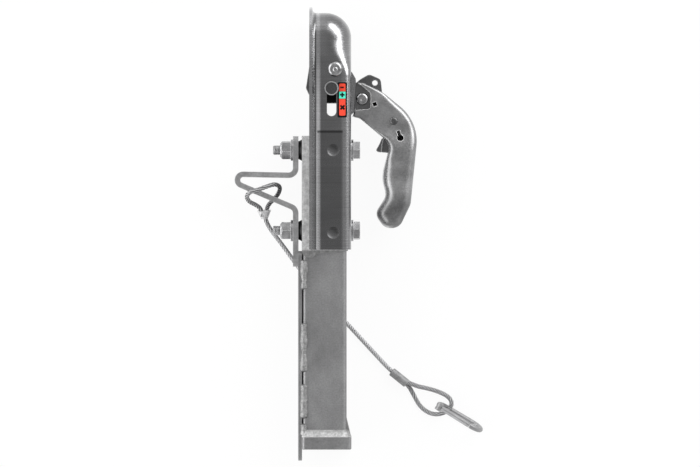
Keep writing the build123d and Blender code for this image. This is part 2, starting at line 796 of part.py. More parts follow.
def cable_bracket():
    """A flat bar bent out to a nose that holds the cable's eye."""
    path = FilletPolyline(
        (strap_x, strap_front_y, 0),
        (strap_x, -153.3, 0),
        (-125.3, -151.3, 0),
        (strap_x, -190.3, 0),
        (strap_x, strap_rear_y, 0),
        radius=[8.0, 6.4, 8.0],
    )
    start = Plane(origin=path @ 0, x_dir=(0, 0, 1), z_dir=path % 0)
    bar = sweep(start * Rectangle(strap_width, strap_thickness), path=path)
    ends = [e for e in bar.edges() if is_strap_corner(e)]
    bar = fillet(ends, 6.0)
    for y in bolt_ys:
        bar -= along_x(y, 0, bolt_hole_diameter / 2, strap_x - strap_thickness, strap_x + strap_thickness)
    return bar


def is_strap_corner(edge):
    """Whether an edge is one of the four short corners at the bracket's ends."""
    middle = edge.center()
    at_end = abs(middle.Y - strap_front_y) < 0.01 or abs(middle.Y - strap_rear_y) < 0.01
    at_side = abs(abs(middle.Z) - strap_width / 2) < 0.01
    return at_end and at_side and abs(edge.length - strap_thickness) < 0.01


cable_points = [
    (-70.6, -198.8, -7.0),
    (-71.8, -190.8, -4.6),
    (-78.0, -186.2, 2.0),
    (-86.0, -182.6, 9.8),
    (-88.6, -176.6, 17.6),
    (-84.2, -171.6, 21.6),
    (-76.6, -170.0, 22.6),
    (-66.4, -166.0, 20.8),
    (-56.6, -162.8, 14.2),
    (-50.6, -165.8, 3.2),
    (-52.34, -173.07, -9.88),
    (-57.94, -179.87, -20.08),
    (-63.8, -185.2, -21.0),
    (-66.4, -192.0, -15.4),
    (-68.0, -200.4, -12.0),
    (-64.6, -209.4, -13.6),
    (-57.4, -219.6, -17.6),
    (-44.6, -236.6, -26.0),
    (-33.6, -252.4, -34.0),
    (-6.0, -288.0, -35.0),
    (26.0, -321.6, -35.0),
    (58.0, -356.4, -35.0),
    (73.0, -372.4, -34.4),
    (92.6, -388.2, -34.2),
    (98.4, -398.6, -34.6),
    (106.0, -413.2, -34.8),
    (118.0, -421.4, -33.0),
    (129.6, -421.6, -30.6),
    (138.2, -416.8, -28.8),
    (142.6, -409.4, -29.0),
    (138.6, -402.0, -30.4),
    (128.6, -396.6, -30.6),
    (113.6, -392.0, -29.3),
    (101.4, -390.0, -28.9),
    (84.0, -381.6, -28.8),
]


def cable_radii():
    """The bend at each point of the route, as large as its two runs allow."""
    points = [Vector(*p) for p in cable_points]
    radii = []
    for before, here, after in zip(points, points[1:], points[2:]):
        first, second = here - before, after - here
        turn = radians(first.get_angle(second))
        radii.append(0.45 * min(first.length, second.length) / tan(turn / 2))
    return radii


def cable_path():
    return FilletPolyline(*cable_points, radius=cable_radii())


def safety_cable():
    path = cable_path()
    start = Plane(origin=path @ 0, z_dir=path % 0)
    return sweep(start * Circle(cable_diameter / 2), path=path)


def bracket_ferrule():
    """The pressed sleeve of the eye on the bracket: wide where two ropes enter, narrow where one leaves."""
    centre_z = -9.6
    wide = Plane(origin=(-68.9, -192.6, centre_z), x_dir=(1, 0, 0), z_dir=(0.06, -1, -0.12))
    narrow = Plane(origin=(-68.3, -201.9, centre_z - 1.4), x_dir=(1, 0, 0), z_dir=(0.06, -1, -0.12))
    return loft([wide * RectangleRounded(15.4, 15.0, 5.5), narrow * Ellipse(3.6, 3.9)])


def hook_ferrule():
    """The oval sleeve of the eye that holds the snap hook."""
    start = Vector(74.2, -373.4, floor_z + hook_ferrule_height / 2 + 0.05)
    direction = Vector(19.6, -15.8, 0).normalized()
    face = Plane(origin=start, x_dir=(0, 0, 1), z_dir=direction)
    body = extrude(face * SlotOverall(hook_ferrule_height, hook_ferrule_width), amount=hook_ferrule_length)
    return fillet(body.edges().filter_by(GeomType.CIRCLE), 1.0)


hook_centre = Vector(150.25, -424.64, -22.65)
hook_along = Vector(0.863, -0.506, 0).normalized()
hook_up = Vector(-0.0865, -0.1475, 0.985).normalized()


def hook_plane(u, w):
    """The snap hook's own plane, moved to a place in it."""
    origin = hook_centre + hook_along * u + hook_up * w
    return Plane(origin=origin, x_dir=hook_along, z_dir=hook_along.cross(hook_up))


def in_hook(u, w):
    return hook_centre + hook_along * u + hook_up * w


hook_end = hook_length / 2 - hook_wire_diameter / 2
hook_hinge = (hook_hinge_edge - hook_end, hook_hinge_height)
hook_mouth = hook_end - hook_mouth_edge


def hook_bar(points, radii, radius):
    """Round wire through points of the hook's plane."""
    places = [in_hook(u, w) for u, w in points]
    path = FilletPolyline(*places, radius=radii) if radii else Line(*places)
    start = Plane(origin=path @ 0, z_dir=path % 0)
    return sweep(start * Circle(radius), path=path)


def snap_hook():
    half = hook_centre_pitch / 2
    wire = hook_wire_diameter / 2
    hinge_u, hinge_w = hook_hinge
    end = hook_end
    points = [(hinge_u - 0.5, hinge_w), (-end, -half), (end, -half), (end, half), (hook_mouth, half)]
    body = hook_bar(points, [8.5, hook_bend_radius, hook_bend_radius], wire)
    plane = hook_plane(*hook_hinge)
    root = Pos(-0.8, -7.0) * Circle(wire - 0.6)
    lug_face = make_hull((Circle(wire + 0.4) + root).edges())
    lug = plane * extrude(lug_face, amount=hook_lug_thickness / 2, both=True)
    room = plane * extrude(Circle(wire + 1.6), amount=wire + 2, both=True)
    pin = plane * extrude(Circle(gate_pin_diameter / 2 + fit), amount=wire + 2, both=True)
    return body - room + lug - pin


def hook_gate():
    """The sprung bar that closes the hook, forked over the lug at its hinge."""
    half = hook_centre_pitch / 2
    wire = hook_wire_diameter / 2
    hinge_u, hinge_w = hook_hinge
    bar = hook_bar([(hinge_u + 3.0, hinge_w + 0.5), (hook_mouth - 0.5 - clear, half)], None, wire - 0.2)
    plane = hook_plane(*hook_hinge)
    outer = plane * extrude(Circle(wire + 0.9), amount=4.1, both=True)
    gap = plane * extrude(Circle(wire + 0.4 + 0.9), amount=hook_lug_thickness / 2 + running, both=True)
    pin = plane * extrude(Circle(gate_pin_diameter / 2 + running), amount=6, both=True)
    return bar + outer - gap - pin


def hook_gate_pin():
    plane = hook_plane(*hook_hinge)
    return plane * extrude(Circle(gate_pin_diameter / 2), amount=4.4, both=True)


def one_node(made):
    """The solid that a piece is, or one compound of the solids that make up the node."""
    solids = [solid for shape in (made if isinstance(made, list) else [made]) for solid in shape.solids()]
    return solids[0] if len(solids) == 1 else Compound(children=solids)


def make_all():
    return {
        "coupler_housing": coupler_housing,
        "ball_jaw": ball_jaw,
        "jaw_pivot_rivet": jaw_pivot_rivet,
        "locking_wedge": locking_wedge,
        "indicator_pin": indicator_pin,
        "indicator_button": indicator_button,
        "indicator_label": indicator_label,
        "main_spring": main_spring,
        "spring_seat": spring_seat,
        "pivot_yoke": pivot_yoke,
        "handle_pivot_rivet": handle_pivot_rivet,
        "handle_shell": handle_shell,
        "handle_drive_arm": handle_drive_arm,
        "trigger": trigger,
        "trigger_pivot_rivet": trigger_pivot_rivet,
        "trigger_spring": trigger_spring,
        "tube_liner": tube_liner,
        "draw_tube": draw_tube,
        "backing_bar": backing_bar,
        "foot_plate": foot_plate,
        "plate_welds": plate_welds,
        "foot_weld": foot_weld,
        "coupler_bolts": coupler_bolts,
        "lock_nuts": lock_nuts,
        "head_washers": lambda: washers(top_x),
        "nut_washers": lambda: washers(bar_low_x - strap_thickness - washer_thickness),
        "spacer_washers": spacer_washers,
        "cable_bracket": cable_bracket,
        "safety_cable": safety_cable,
        "bracket_ferrule": bracket_ferrule,
        "hook_ferrule": hook_ferrule,
        "snap_hook": snap_hook,
        "hook_gate": hook_gate,
        "hook_gate_pin": hook_gate_pin,
    }


def build():
    os.makedirs("parts", exist_ok=True)
    for name, make in make_all().items():
        made = make()
        shape = one_node(made)
        shape.label = name
        export_step(shape, f"parts/{name}.step")
        print(name, "solids", len(shape.solids()), "volume", round(shape.volume))
    section = pi * cable_diameter**2 / 4
    length = cable_path().length
    print("cable length", round(length, 1), "volume should be", round(section * length))
    print("cable radii", [round(r, 1) for r in cable_radii()])


build()
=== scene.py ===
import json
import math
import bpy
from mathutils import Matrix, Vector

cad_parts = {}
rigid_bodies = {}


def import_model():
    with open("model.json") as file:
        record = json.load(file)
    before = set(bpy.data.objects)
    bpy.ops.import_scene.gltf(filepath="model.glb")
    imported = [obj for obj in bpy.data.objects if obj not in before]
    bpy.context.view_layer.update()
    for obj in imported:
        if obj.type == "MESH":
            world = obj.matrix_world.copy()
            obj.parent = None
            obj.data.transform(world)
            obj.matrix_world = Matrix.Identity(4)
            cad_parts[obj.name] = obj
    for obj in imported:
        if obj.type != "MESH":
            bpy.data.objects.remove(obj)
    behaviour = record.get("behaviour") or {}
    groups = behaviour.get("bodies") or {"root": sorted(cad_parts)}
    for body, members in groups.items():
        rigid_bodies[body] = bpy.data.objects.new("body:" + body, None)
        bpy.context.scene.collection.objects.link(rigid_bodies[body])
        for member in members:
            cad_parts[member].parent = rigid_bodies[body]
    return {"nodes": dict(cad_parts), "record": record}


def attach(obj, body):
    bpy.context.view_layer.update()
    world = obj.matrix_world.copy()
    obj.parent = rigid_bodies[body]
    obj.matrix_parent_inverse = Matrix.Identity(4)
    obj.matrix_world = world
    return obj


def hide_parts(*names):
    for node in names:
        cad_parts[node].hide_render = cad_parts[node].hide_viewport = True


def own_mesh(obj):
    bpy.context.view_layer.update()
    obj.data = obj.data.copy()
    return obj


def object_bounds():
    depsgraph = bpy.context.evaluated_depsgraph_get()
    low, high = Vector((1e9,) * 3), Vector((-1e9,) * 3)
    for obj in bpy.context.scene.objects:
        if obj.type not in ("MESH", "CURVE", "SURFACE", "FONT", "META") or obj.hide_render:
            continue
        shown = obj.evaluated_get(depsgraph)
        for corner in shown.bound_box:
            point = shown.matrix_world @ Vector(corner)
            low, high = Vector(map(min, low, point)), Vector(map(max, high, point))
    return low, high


bl_info = {
    "name": "Trailer ball coupler",
    "version": (1, 0, 0),
    "blender": (4, 5, 0),
    "location": "3D View > Sidebar > Coupler",
    "description": "Dresses the packed ball coupler, its draw tube and its safety cable",
    "category": "Object",
}

import bmesh
import bpy
from bpy.props import FloatProperty, FloatVectorProperty, IntProperty, PointerProperty
from mathutils import Matrix, Vector, geometry

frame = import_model()
cad_box = [list(corner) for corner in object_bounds()]
MM = 0.001

# Places that the solids have too, in millimetres
BOLT_Y = (-125.0, -215.0)
TUBE_LOW_X, TUBE_HALF = -26.4, 25.0
PIN_PLACE = (6.8, -56.3)
DIMPLE_X, DIMPLE_Y, DIMPLE_RADIUS = 8.7, (-125.2, -217.4), 6.8
JAW_RIVET = (10.8, -34.8)
HANDLE_PIVOT = (41.1, -67.7)
TRIGGER_PIVOT = (76.2, -92.4)
DIAMOND_HOLE = (55.2, -73.7)
KEYHOLE = (83.7, -111.2)
SPRING_X, SPRING_SEAT_Y, SPRING_FRONT_Y = 18.6, -106.2, -72.6
BOLT_SEAT, BOLT_END = 31.2, -58.8
NUT_LOW, NUT_HIGH = -50.9, -38.9
WELD_RUNS = ((-247.5, -281.0), (-318.5, -372.5), (-387.0, -424.6), (-431.0, -444.0))
CABLE_ROUTE = (
    (-70.6, -198.8, -7.0), (-71.8, -190.8, -4.6), (-78.0, -186.2, 2.0), (-86.0, -182.6, 9.8),
    (-88.6, -176.6, 17.6), (-84.2, -171.6, 21.6), (-76.6, -170.0, 22.6), (-66.4, -166.0, 20.8),
    (-56.6, -162.8, 14.2), (-50.6, -165.8, 3.2), (-52.34, -173.07, -9.88), (-57.94, -179.87, -20.08),
    (-63.8, -185.2, -21.0), (-66.4, -192.0, -15.4), (-68.0, -200.4, -12.0), (-64.6, -209.4, -13.6),
    (-57.4, -219.6, -17.6), (-44.6, -236.6, -26.0), (-33.6, -252.4, -34.0), (-6.0, -288.0, -35.0),
    (26.0, -321.6, -35.0), (58.0, -356.4, -35.0), (73.0, -372.4, -34.4), (92.6, -388.2, -34.2),
    (98.4, -398.6, -34.6), (106.0, -413.2, -34.8), (118.0, -421.4, -33.0), (129.6, -421.6, -30.6),
    (138.2, -416.8, -28.8), (142.6, -409.4, -29.0), (138.6, -402.0, -30.4), (128.6, -396.6, -30.6),
    (113.6, -392.0, -29.3), (101.4, -390.0, -28.9), (84.0, -381.6, -28.8),
)

# Outlines of the handle: each corner with its radius, in millimetres
HANDLE_CORNERS = (
    ((35.5, -49.7), 0), ((42.0, -49.7), 0), ((64.0, -60.2), 40), ((104.6, -93.1), 50), ((95.3, -185.5), 15),
    ((82.5, -212.3), 13), ((66.3, -212.3), 12), ((55.0, -196.5), 11), ((68.0, -176.0), 14),
    ((62.3, -155.5), 40), ((72.3, -117.9), 14), ((38.5, -89.4), 10), ((30.2, -87.4), 0), ((32.8, -79.6), 0),
)
HANDLE_NOTCH = (
    ((20, -49.0), 0), ((35.2, -49.0), 0), ((50.5, -61.0), 7), ((50.5, -79.3), 4), ((20, -79.3), 0),
)
HANDLE_LUG_SLOT = (((30, -44), 0), ((46, -44), 0), ((75.0, -61.5), 0), ((69.5, -72.0), 3), ((40, -62), 0))
HANDLE_UNDERSIDE = (
    ((24, -74), 0), ((44, -76), 0), ((62, -98), 8), ((74, -116), 5), ((74, -130), 3), ((60, -130), 0),
    ((24, -100), 0),
)
HANDLE_MIDDLE = ((33.0, -66.0), (52.0, -78.0), (86.0, -106.0), (79.0, -155.0), (80.0, -178.0), (72.0, -200.0))
HANDLE_ROWS = (0.35, 0.8, 1.4, 2.1, 3.0, 4.1, 5.4, 6.9, 8.6, 10.4)
HANDLE_GRID, HANDLE_GRID_START = 2.0, 11.2
HANDLE_HALF, HANDLE_WIDENING, HANDLE_EDGE = 10.1, 6.4, 2.4
DIAMOND_REACH, KEYHOLE_RADIUS, KEYHOLE_SLIT = 3.1, 3.7, 1.8
SHEET = 2.5

# The rope, in metres: how far apart its points lie, and how much its strands sink into each other
ROPE_STEP, ROPE_SQUEEZE = 0.0011, 1.04

# The label: its green field along the coupler, and its bars as place, direction, half length, half width
LABEL_GREEN = (-67.9, -59.8)
LABEL_MIDDLE, LABEL_HALF, LABEL_CORNER = (18.85, -68.9), (2.05, 16.4), 1.5
SLANT = math.sqrt(0.5)
LABEL_BARS = (
    ((18.4, -55.3), (1, 0), 2.1, 0.85),
    ((18.8, -63.6), (1, 0), 2.6, 0.95),
    ((18.8, -63.6), (0, 1), 2.6, 0.95),
    ((19.0, -77.6), (SLANT, SLANT), 3.2, 1.05),
    ((19.0, -77.6), (SLANT, -SLANT), 3.2, 1.05),
    ((18.8, -59.8), (1, 0), 6.0, 0.2),
    ((18.8, -67.9), (1, 0), 6.0, 0.2),
)

# Places and sizes on the stage, in metres
BOX_LIGHT_PLACE, BOX_LIGHT_SIZE = (0.412, 0.334, 0.27), (0.76, 0.24)
CAMERA_X, CAMERA_Y = 0.0274, -0.2183


# Settings


def length_setting(name, default, description):
    return FloatProperty(name=name, description=description, default=default, unit="LENGTH")


def number_setting(name, default, description):
    return FloatProperty(name=name, description=description, default=default)


def colour_setting(name, default, description):
    return FloatVectorProperty(name=name, description=description, default=default, subtype="COLOR")


class CableSettings(bpy.types.PropertyGroup):
    diameter: length_setting("Diameter", 0.005, "Outside diameter of the steel rope")
    strands: IntProperty(name="Strands", description="Outer strands of the rope", default=6, min=3, max=8)
    lay: length_setting("Lay length", 0.025, "Length in which a strand goes once round")


class SpringSettings(bpy.types.PropertyGroup):
    turns: number_setting("Turns", 7.5, "Turns of the main spring")
    wire: length_setting("Wire", 0.0013, "Wire diameter of the main spring")


class FastenerSettings(bpy.types.PropertyGroup):
    across_flats: length_setting("Across flats", 0.019, "Size of the hexagons")
    pitch: length_setting("Thread pitch", 0.00175, "Distance between two turns of the thread")


class WeldSettings(bpy.types.PropertyGroup):
    ripple: length_setting("Ripple", 0.0015, "Distance between two ripples of a weld")
    radius: length_setting("Bead radius", 0.0046, "Radius of the stitch welds")
    seed: IntProperty(name="Seed", description="Seed of the ripples' uneven places", default=7)


class FinishSettings(bpy.types.PropertyGroup):
    head: colour_setting("Head", (0.146, 0.146, 0.149), "Zinc colour of the pressed head")
    tube: colour_setting("Tube", (0.315, 0.315, 0.318), "Zinc colour of the tube and bar")
    handle: colour_setting("Handle", (0.30, 0.30, 0.303), "Zinc colour of the handle")
    label_red: colour_setting("Label red", (0.76, 0.07, 0.04), "Red fields of the label")
    label_green: colour_setting("Label green", (0.09, 0.74, 0.53), "Green field of the label")


class StageSettings(bpy.types.PropertyGroup):
    picture_width: length_setting("Picture width", 0.784, "Width that the camera sees at the middle plane")
    distance: length_setting("Distance", 8.0, "Height of the camera over the middle plane")
    zenith: number_setting("Zenith", 0.55, "Brightness straight above the part")
    rim: number_setting("Box light", 5.4, "Power of the box light that the head mirrors")
    weak_rim: number_setting("Weak box light", 1.8, "Power of the box light on the other pieces")
    corner: number_setting("Corner glow", 2.6, "Brightness higher up between the nose and the handle")
    far_rim: number_setting("Far rim", 3.0, "Brightness of the higher band beside the bracket")
    front_rim: number_setting("Front rim", 0.75, "Brightness low in front of the nose")
    rear_rim: number_setting("Rear rim", 0.45, "Brightness low behind the tube")
    right_rim: number_setting("Right rim", 0.6, "Brightness low on the handle's side")
    key: number_setting("Key light", 8.0, "Power of the soft light above the handle")


# Nodes


class NodeNumber:
    """A number that runs through a node tree, and adds, multiplies and compares like a plain one."""

    def __init__(self, tree, socket):
        self.tree, self.socket = tree, socket

    def made(self, kind, settings, **links):
        return NodeNumber(self.tree, add(self.tree, kind, settings, **links).outputs[0])

    def worked(self, operation, *values):
        links = {f"i{index}": value for index, value in enumerate(values)}
        return self.made("ShaderNodeMath", {"operation": operation}, **links)

    def __add__(self, other):
        return self.worked("ADD", self, other)

    def __sub__(self, other):
        return self.worked("SUBTRACT", self, other)

    def __rsub__(self, other):
        return self.worked("SUBTRACT", other, self)

    def __mul__(self, other):
        return self.worked("MULTIPLY", self, other)

    def __truediv__(self, other):
        return self.worked("DIVIDE", self, other)

    def __gt__(self, limit):
        return self.worked("GREATER_THAN", self, limit)

    def __lt__(self, limit):
        return self.worked("LESS_THAN", self, limit)

    def __abs__(self):
        return self.worked("ABSOLUTE", self)

    def at_least(self, least):
        return self.worked("MAXIMUM", self, least)

    def at_most(self, most):
        return self.worked("MINIMUM", self, most)

    def root(self):
        return self.worked("SQRT", self)

    def spread(self, start, end, low=0.0, high=1.0):
        """Goes straight from one level to another while the number goes from start to end."""
        return self.made("ShaderNodeMapRange", None, Value=self, i1=start, i2=end, i3=low, i4=high)

    def eased(self, start, end):
        """Rises smoothly from 0 to 1 while the number goes from start to end."""
        smooth = {"interpolation_type": "SMOOTHSTEP"}
        return self.made("ShaderNodeMapRange", smooth, Value=self, i1=start, i2=end, i3=0.0, i4=1.0)

    def band(self, rise, fall):
        """1 inside a band, with both its edges eased."""
        return self.eased(*rise) * self.eased(fall[1], fall[0])


def feed(tree, node, **links):
    """Link or set a node's inputs, by their names or by i and their number."""
    for key, value in links.items():
        numbered = key[0] == "i" and key[1:].isdigit()
        socket = node.inputs[int(key[1:]) if numbered else key.replace("_", " ")]
        if isinstance(value, NodeNumber):
            value = value.socket
        if isinstance(value, bpy.types.NodeSocket):
            tree.links.new(value, socket)
        else:
            socket.default_value = value
    return node


def add(tree, kind, settings=None, **links):
    """A new node with its plain settings and its inputs."""
    node = tree.nodes.new(kind)
    for key, value in (settings or {}).items():
        setattr(node, key, value)
    return feed(tree, node, **links)


def node_group(name, kind, inputs, outputs):
    """An empty node group with its inputs and outputs."""
    tree = bpy.data.node_groups.new(name, kind)
    for label, socket_kind, value in inputs:
        socket = tree.interface.new_socket(label, in_out="INPUT", socket_type="NodeSocket" + socket_kind)
        if value is not None:
            socket.default_value = value
    for label, socket_kind in outputs:
        tree.interface.new_socket(label, in_out="OUTPUT", socket_type="NodeSocket" + socket_kind)
    return tree, tree.nodes.new("NodeGroupInput"), tree.nodes.new("NodeGroupOutput")


def cleared(owner):
    """The node tree of a material or a world, emptied."""
    owner.use_nodes = True
    owner.node_tree.nodes.clear()
    return owner.node_tree


def even(value):
    return (value, value, value)


def split(tree, vector):
    """The three parts of a vector, as numbers."""
    parts = add(tree, "ShaderNodeSeparateXYZ", None, i0=vector)
    return [NodeNumber(tree, part) for part in parts.outputs]


def scaled(tree, vector, factor):
    return add(tree, "ShaderNodeVectorMath", {"operation": "SCALE"}, i0=vector, Scale=factor).outputs[0]


def stretched(tree, vector, stretch):
    return add(tree, "ShaderNodeVectorMath", {"operation": "MULTIPLY"}, i0=vector, i1=stretch).outputs[0]


def object_place(tree):
    return add(tree, "ShaderNodeTexCoord").outputs["Object"]


def place_in_mm(tree):
    """X, Y and Z of a point of the part, in millimetres."""
    return split(tree, scaled(tree, object_place(tree), 1 / MM))


def distance(x, y, centre=(0.0, 0.0)):
    """How far a point lies from a place, seen from above."""
    across, along = x - centre[0], y - centre[1]
    return (across * across + along * along).root()


def facing_away(tree):
    """0 where a surface faces the eye, 1 where it turns away."""
    return NodeNumber(tree, add(tree, "ShaderNodeLayerWeight", None, Blend=0.5).outputs["Facing"])


def noise(tree, place, detail, roughness=0.5, scale=1.0):
    values = {"Vector": place, "Scale": scale, "Detail": detail, "Roughness": roughness}
    return NodeNumber(tree, add(tree, "ShaderNodeTexNoise", None, **values).outputs[0])


def grain(tree, fineness, detail=3.0):
    """Even noise over a piece."""
    return noise(tree, stretched(tree, object_place(tree), even(fineness)), detail)


def mixed(tree, amount, plain, other, blend="MIX"):
    settings = {"data_type": "RGBA", "blend_type": blend}
    return add(tree, "ShaderNodeMix", settings, i0=amount, i6=plain, i7=other).outputs[2]


def bumped(tree, strength, depth, height):
    return add(tree, "ShaderNodeBump", None, Strength=strength, Distance=depth * MM, Height=height).outputs[0]


def edge_wear_and_glint_group():
    """How far a point lies on a sharp outer edge, broken up by fine noise: paler edges that are partly worn
    and partly a painted highlight where edges catch the light.
    """
    tree, inside, out = node_group(
        "Edge wear and glint", "ShaderNodeTree", [("Radius", "Float", 0.0012)], [("Mask", "Float")],
    )
    bevel = add(tree, "ShaderNodeBevel", {"samples": 4}, Radius=inside.outputs["Radius"]).outputs[0]
    true_normal = add(tree, "ShaderNodeNewGeometry").outputs["Normal"]
    dot = add(tree, "ShaderNodeVectorMath", {"operation": "DOT_PRODUCT"}, i0=bevel, i1=true_normal)
    away = 1.0 - NodeNumber(tree, dot.outputs["Value"])
    feed(tree, out, Mask=away.spread(0.01, 0.12) * grain(tree, 400).spread(0.3, 0.6, 0.55, 1.0))
    return tree


def zinc_group():
    """Uneven zinc: large soft patches, and a grain of small speckle and fine lines along one direction."""
    tree, inside, out = node_group(
        "Zinc coat", "ShaderNodeTree",
        [
            ("Patch stretch", "Vector", (28, 28, 28)), ("Speckle scale", "Float", 900.0),
            ("Line stretch", "Vector", (40, 1500, 40)), ("Line share", "Float", 0.3),
        ],
        [("Patches", "Float"), ("Grain", "Float")],
    )
    place, given = object_place(tree), inside.outputs
    patches = noise(tree, stretched(tree, place, given["Patch stretch"]), 4.0, 0.6)
    speckle = noise(tree, place, 3.0, 0.65, given["Speckle scale"])
    lines = noise(tree, stretched(tree, place, given["Line stretch"]), 3.0)
    both = add(tree, "ShaderNodeMix", {"data_type": "FLOAT"}, i0=given["Line share"], i2=speckle, i3=lines)
    feed(tree, out, Patches=patches.spread(0.3, 0.7), Grain=both.outputs[0])
    return tree


GROUPS = {}


def placed_group(tree, name, **values):
    """The outputs of one of the node groups, as numbers."""
    node = feed(tree, add(tree, "ShaderNodeGroup", {"node_tree": GROUPS[name]}), **values)
    return [NodeNumber(tree, output) for output in node.outputs]


# Finishes


def new_material(name):
    material = bpy.data.materials.new(name)
    tree = cleared(material)
    shader = tree.nodes.new("ShaderNodeBsdfPrincipled")
    add(tree, "ShaderNodeOutputMaterial", None, Surface=shader.outputs[0])
    return material, tree, shader


def shade(colour, factor):
    return (*[min(1.0, max(0.0, channel * factor)) for channel in colour[:3]], 1.0)


def zinc_steel(
    name, colour, tones=(0.82, 1.15, 1.9), rough=(0.3, 0.48), bump=(0.05, 0.2), metallic=1.0, patch=even(28),
    speckle=900.0, lines=(40, 1500, 40), line_share=0.3, edge_radius=0.0012, scuffed=0.0,
):
    """Plated or bare steel: dark and light patches, paler edges that are partly worn and partly a painted
    highlight, uneven gloss and a fine bump.
    """
    material, tree, shader = new_material(name)
    patches, fine = placed_group(
        tree, "Zinc coat", Patch_stretch=patch, Speckle_scale=speckle, Line_stretch=lines,
        Line_share=line_share,
    )
    wear_and_glint, = placed_group(tree, "Edge wear and glint", Radius=edge_radius)
    dark, light, edge = (shade(colour, tone) for tone in tones)
    flecked = scaled(tree, mixed(tree, patches, dark, light), fine.spread(0.35, 0.65, 0.86, 1.14))
    feed(
        # The edge tone on sharp edges: partly worn metal, partly a painted highlight
        tree, shader, Base_Color=mixed(tree, wear_and_glint, flecked, edge),
        Metallic=metallic - wear_and_glint * scuffed if scuffed else metallic,
        Roughness=fine.spread(0.3, 0.7, *rough), Normal=bumped(tree, *bump, fine),
    )
    return material


def moulded(name, colour, rough=(0.4, 0.6)):
    """Dull black plastic or paint with a fine grain, and paler edges that are partly worn and partly a
    painted highlight.
    """
    material, tree, shader = new_material(name)
    fine = grain(tree, 900)
    wear_and_glint, = placed_group(tree, "Edge wear and glint", Radius=0.0008)
    tone = mixed(tree, fine, shade(colour, 0.75), shade(colour, 1.3))
    feed(
        tree, shader, Base_Color=mixed(tree, wear_and_glint, tone, shade(colour, 3.0)),
        Roughness=fine.spread(0.3, 0.7, *rough), Normal=bumped(tree, 0.12, 0.1, fine),
    )
    return material


def base_colour(material):
    """A material's tree, the input of its colour and what feeds it."""
    tree = material.node_tree
    socket = next(node for node in tree.nodes if node.type == "BSDF_PRINCIPLED").inputs["Base Color"]
    return tree, socket, socket.links[0].from_socket


def toned(material, amount, colour, blend="MULTIPLY"):
    """Lay a tone over a material's colour where a mask is above 0."""
    tree, socket, plain = base_colour(material)
    tree.links.new(mixed(tree, amount, plain, (*colour, 1), blend), socket)
    return material


def shaded_beyond(material, start, end, share):
    """Darken or lighten a material smoothly where the place along the coupler goes from start to end."""
    y = place_in_mm(material.node_tree)[1]
    return toned(material, y.eased(start, end), even(share))


def painted_rim_light(material, share, start=0.4, full=0.85, one_side=False):
    """Paint light on a material where it turns away from the eye, as a painted rim highlight, on every side
    or only away from the handle.
    """
    tree = material.node_tree
    amount = facing_away(tree).eased(start, full)
    if one_side:
        sideways = split(tree, add(tree, "ShaderNodeNewGeometry").outputs["Normal"])[0]
        amount = amount * sideways.eased(0.1, -0.3)
    return toned(material, amount, even(share))


def painted_shade_spot(material, spot, radius):
    """Paint near-black shade on a round place of a material, seen through a small hole, where the sheet above
    shades it.
    """
    x, y = place_in_mm(material.node_tree)[:2]
    return toned(material, distance(x, y, spot).eased(radius + 0.6, radius), even(0.004), "MIX")


def bar_mask(x, y, centre, along, half_length, half_width):
    """A short straight bar at a place of the label, turned along a direction."""
    dx, dy = x - centre[0], y - centre[1]
    run = dx * along[0] + dy * along[1]
    side = dy * along[0] - dx * along[1]
    return (abs(run) < half_length) * (abs(side) < half_width)


def label_material(finish):
    """The wear label: a black frame, a red, a green and a red field, and a minus, a plus and a cross."""
    material, tree, shader = new_material("label film")
    x, y = place_in_mm(tree)[:2]
    green = (y > LABEL_GREEN[0]) * (y < LABEL_GREEN[1])
    fields = mixed(tree, green, (*finish.label_red, 1), (*finish.label_green, 1))
    across = (abs(x - LABEL_MIDDLE[0]) - LABEL_HALF[0]).at_least(0.0)
    along = (abs(y - LABEL_MIDDLE[1]) - LABEL_HALF[1]).at_least(0.0)
    black = distance(across, along) > LABEL_CORNER
    for bar in LABEL_BARS:
        black = black.at_least(bar_mask(x, y, *bar))
    fine = grain(tree, 1200, 2.0)
    feed(
        tree, shader, Base_Color=mixed(tree, black, fields, (0.006, 0.006, 0.007, 1)),
        Roughness=fine.spread(0.3, 0.7, 0.45, 0.6), Normal=bumped(tree, 0.04, 0.1, fine),
        Specular_IOR_Level=0.08,
    )
    return material


def rope_wire():
    """Steel wires of a strand: fine lines along the strand's own length, paler in the straight stretch, with
    painted shade near black in the grooves between the strands, less of it in the straight stretch, and
    painted shade towards the rope's sides.
    """
    material, tree, shader = new_material("rope wire")
    uv = add(tree, "ShaderNodeUVMap", {"uv_map": "UVMap"}).outputs[0]
    slanted = {"bands_direction": "DIAGONAL"}
    wave = add(tree, "ShaderNodeTexWave", slanted, Vector=uv, Scale=1.0, Distortion=0.0)
    lines = NodeNumber(tree, wave.outputs[1])
    outer = NodeNumber(tree, add(tree, "ShaderNodeAttribute", {"attribute_name": "outer"}).outputs["Fac"])
    straight = place_in_mm(tree)[1].band((-384.0, -370.0), (-224.0, -200.0))
    # Painted shade: near black towards the rope's middle, in the grooves between the strands, less of it in
    # the straight stretch
    opened = outer.spread(0.62 - straight * 0.22, 1.0).at_least(straight * 0.6)
    wire = mixed(tree, lines, (0.38, 0.38, 0.384, 1), (0.56, 0.56, 0.57, 1))
    fine = grain(tree, 700)
    # Paler in the straight stretch, and painted shade where the surface turns away from the eye
    level = (straight * 0.3 + 1.25) * (1.0 - facing_away(tree).eased(0.35, 0.85) * 0.55)
    tone = mixed(tree, opened, (0.02, 0.02, 0.02, 1), wire)
    feed(
        tree, shader, Base_Color=scaled(tree, tone, fine.spread(0.35, 0.65, 0.8, 1.15) * level),
        Roughness=fine.spread(0.3, 0.7, 0.4, 0.55), Normal=bumped(tree, 0.15, 0.15, lines), Metallic=0.75,
    )
    return material


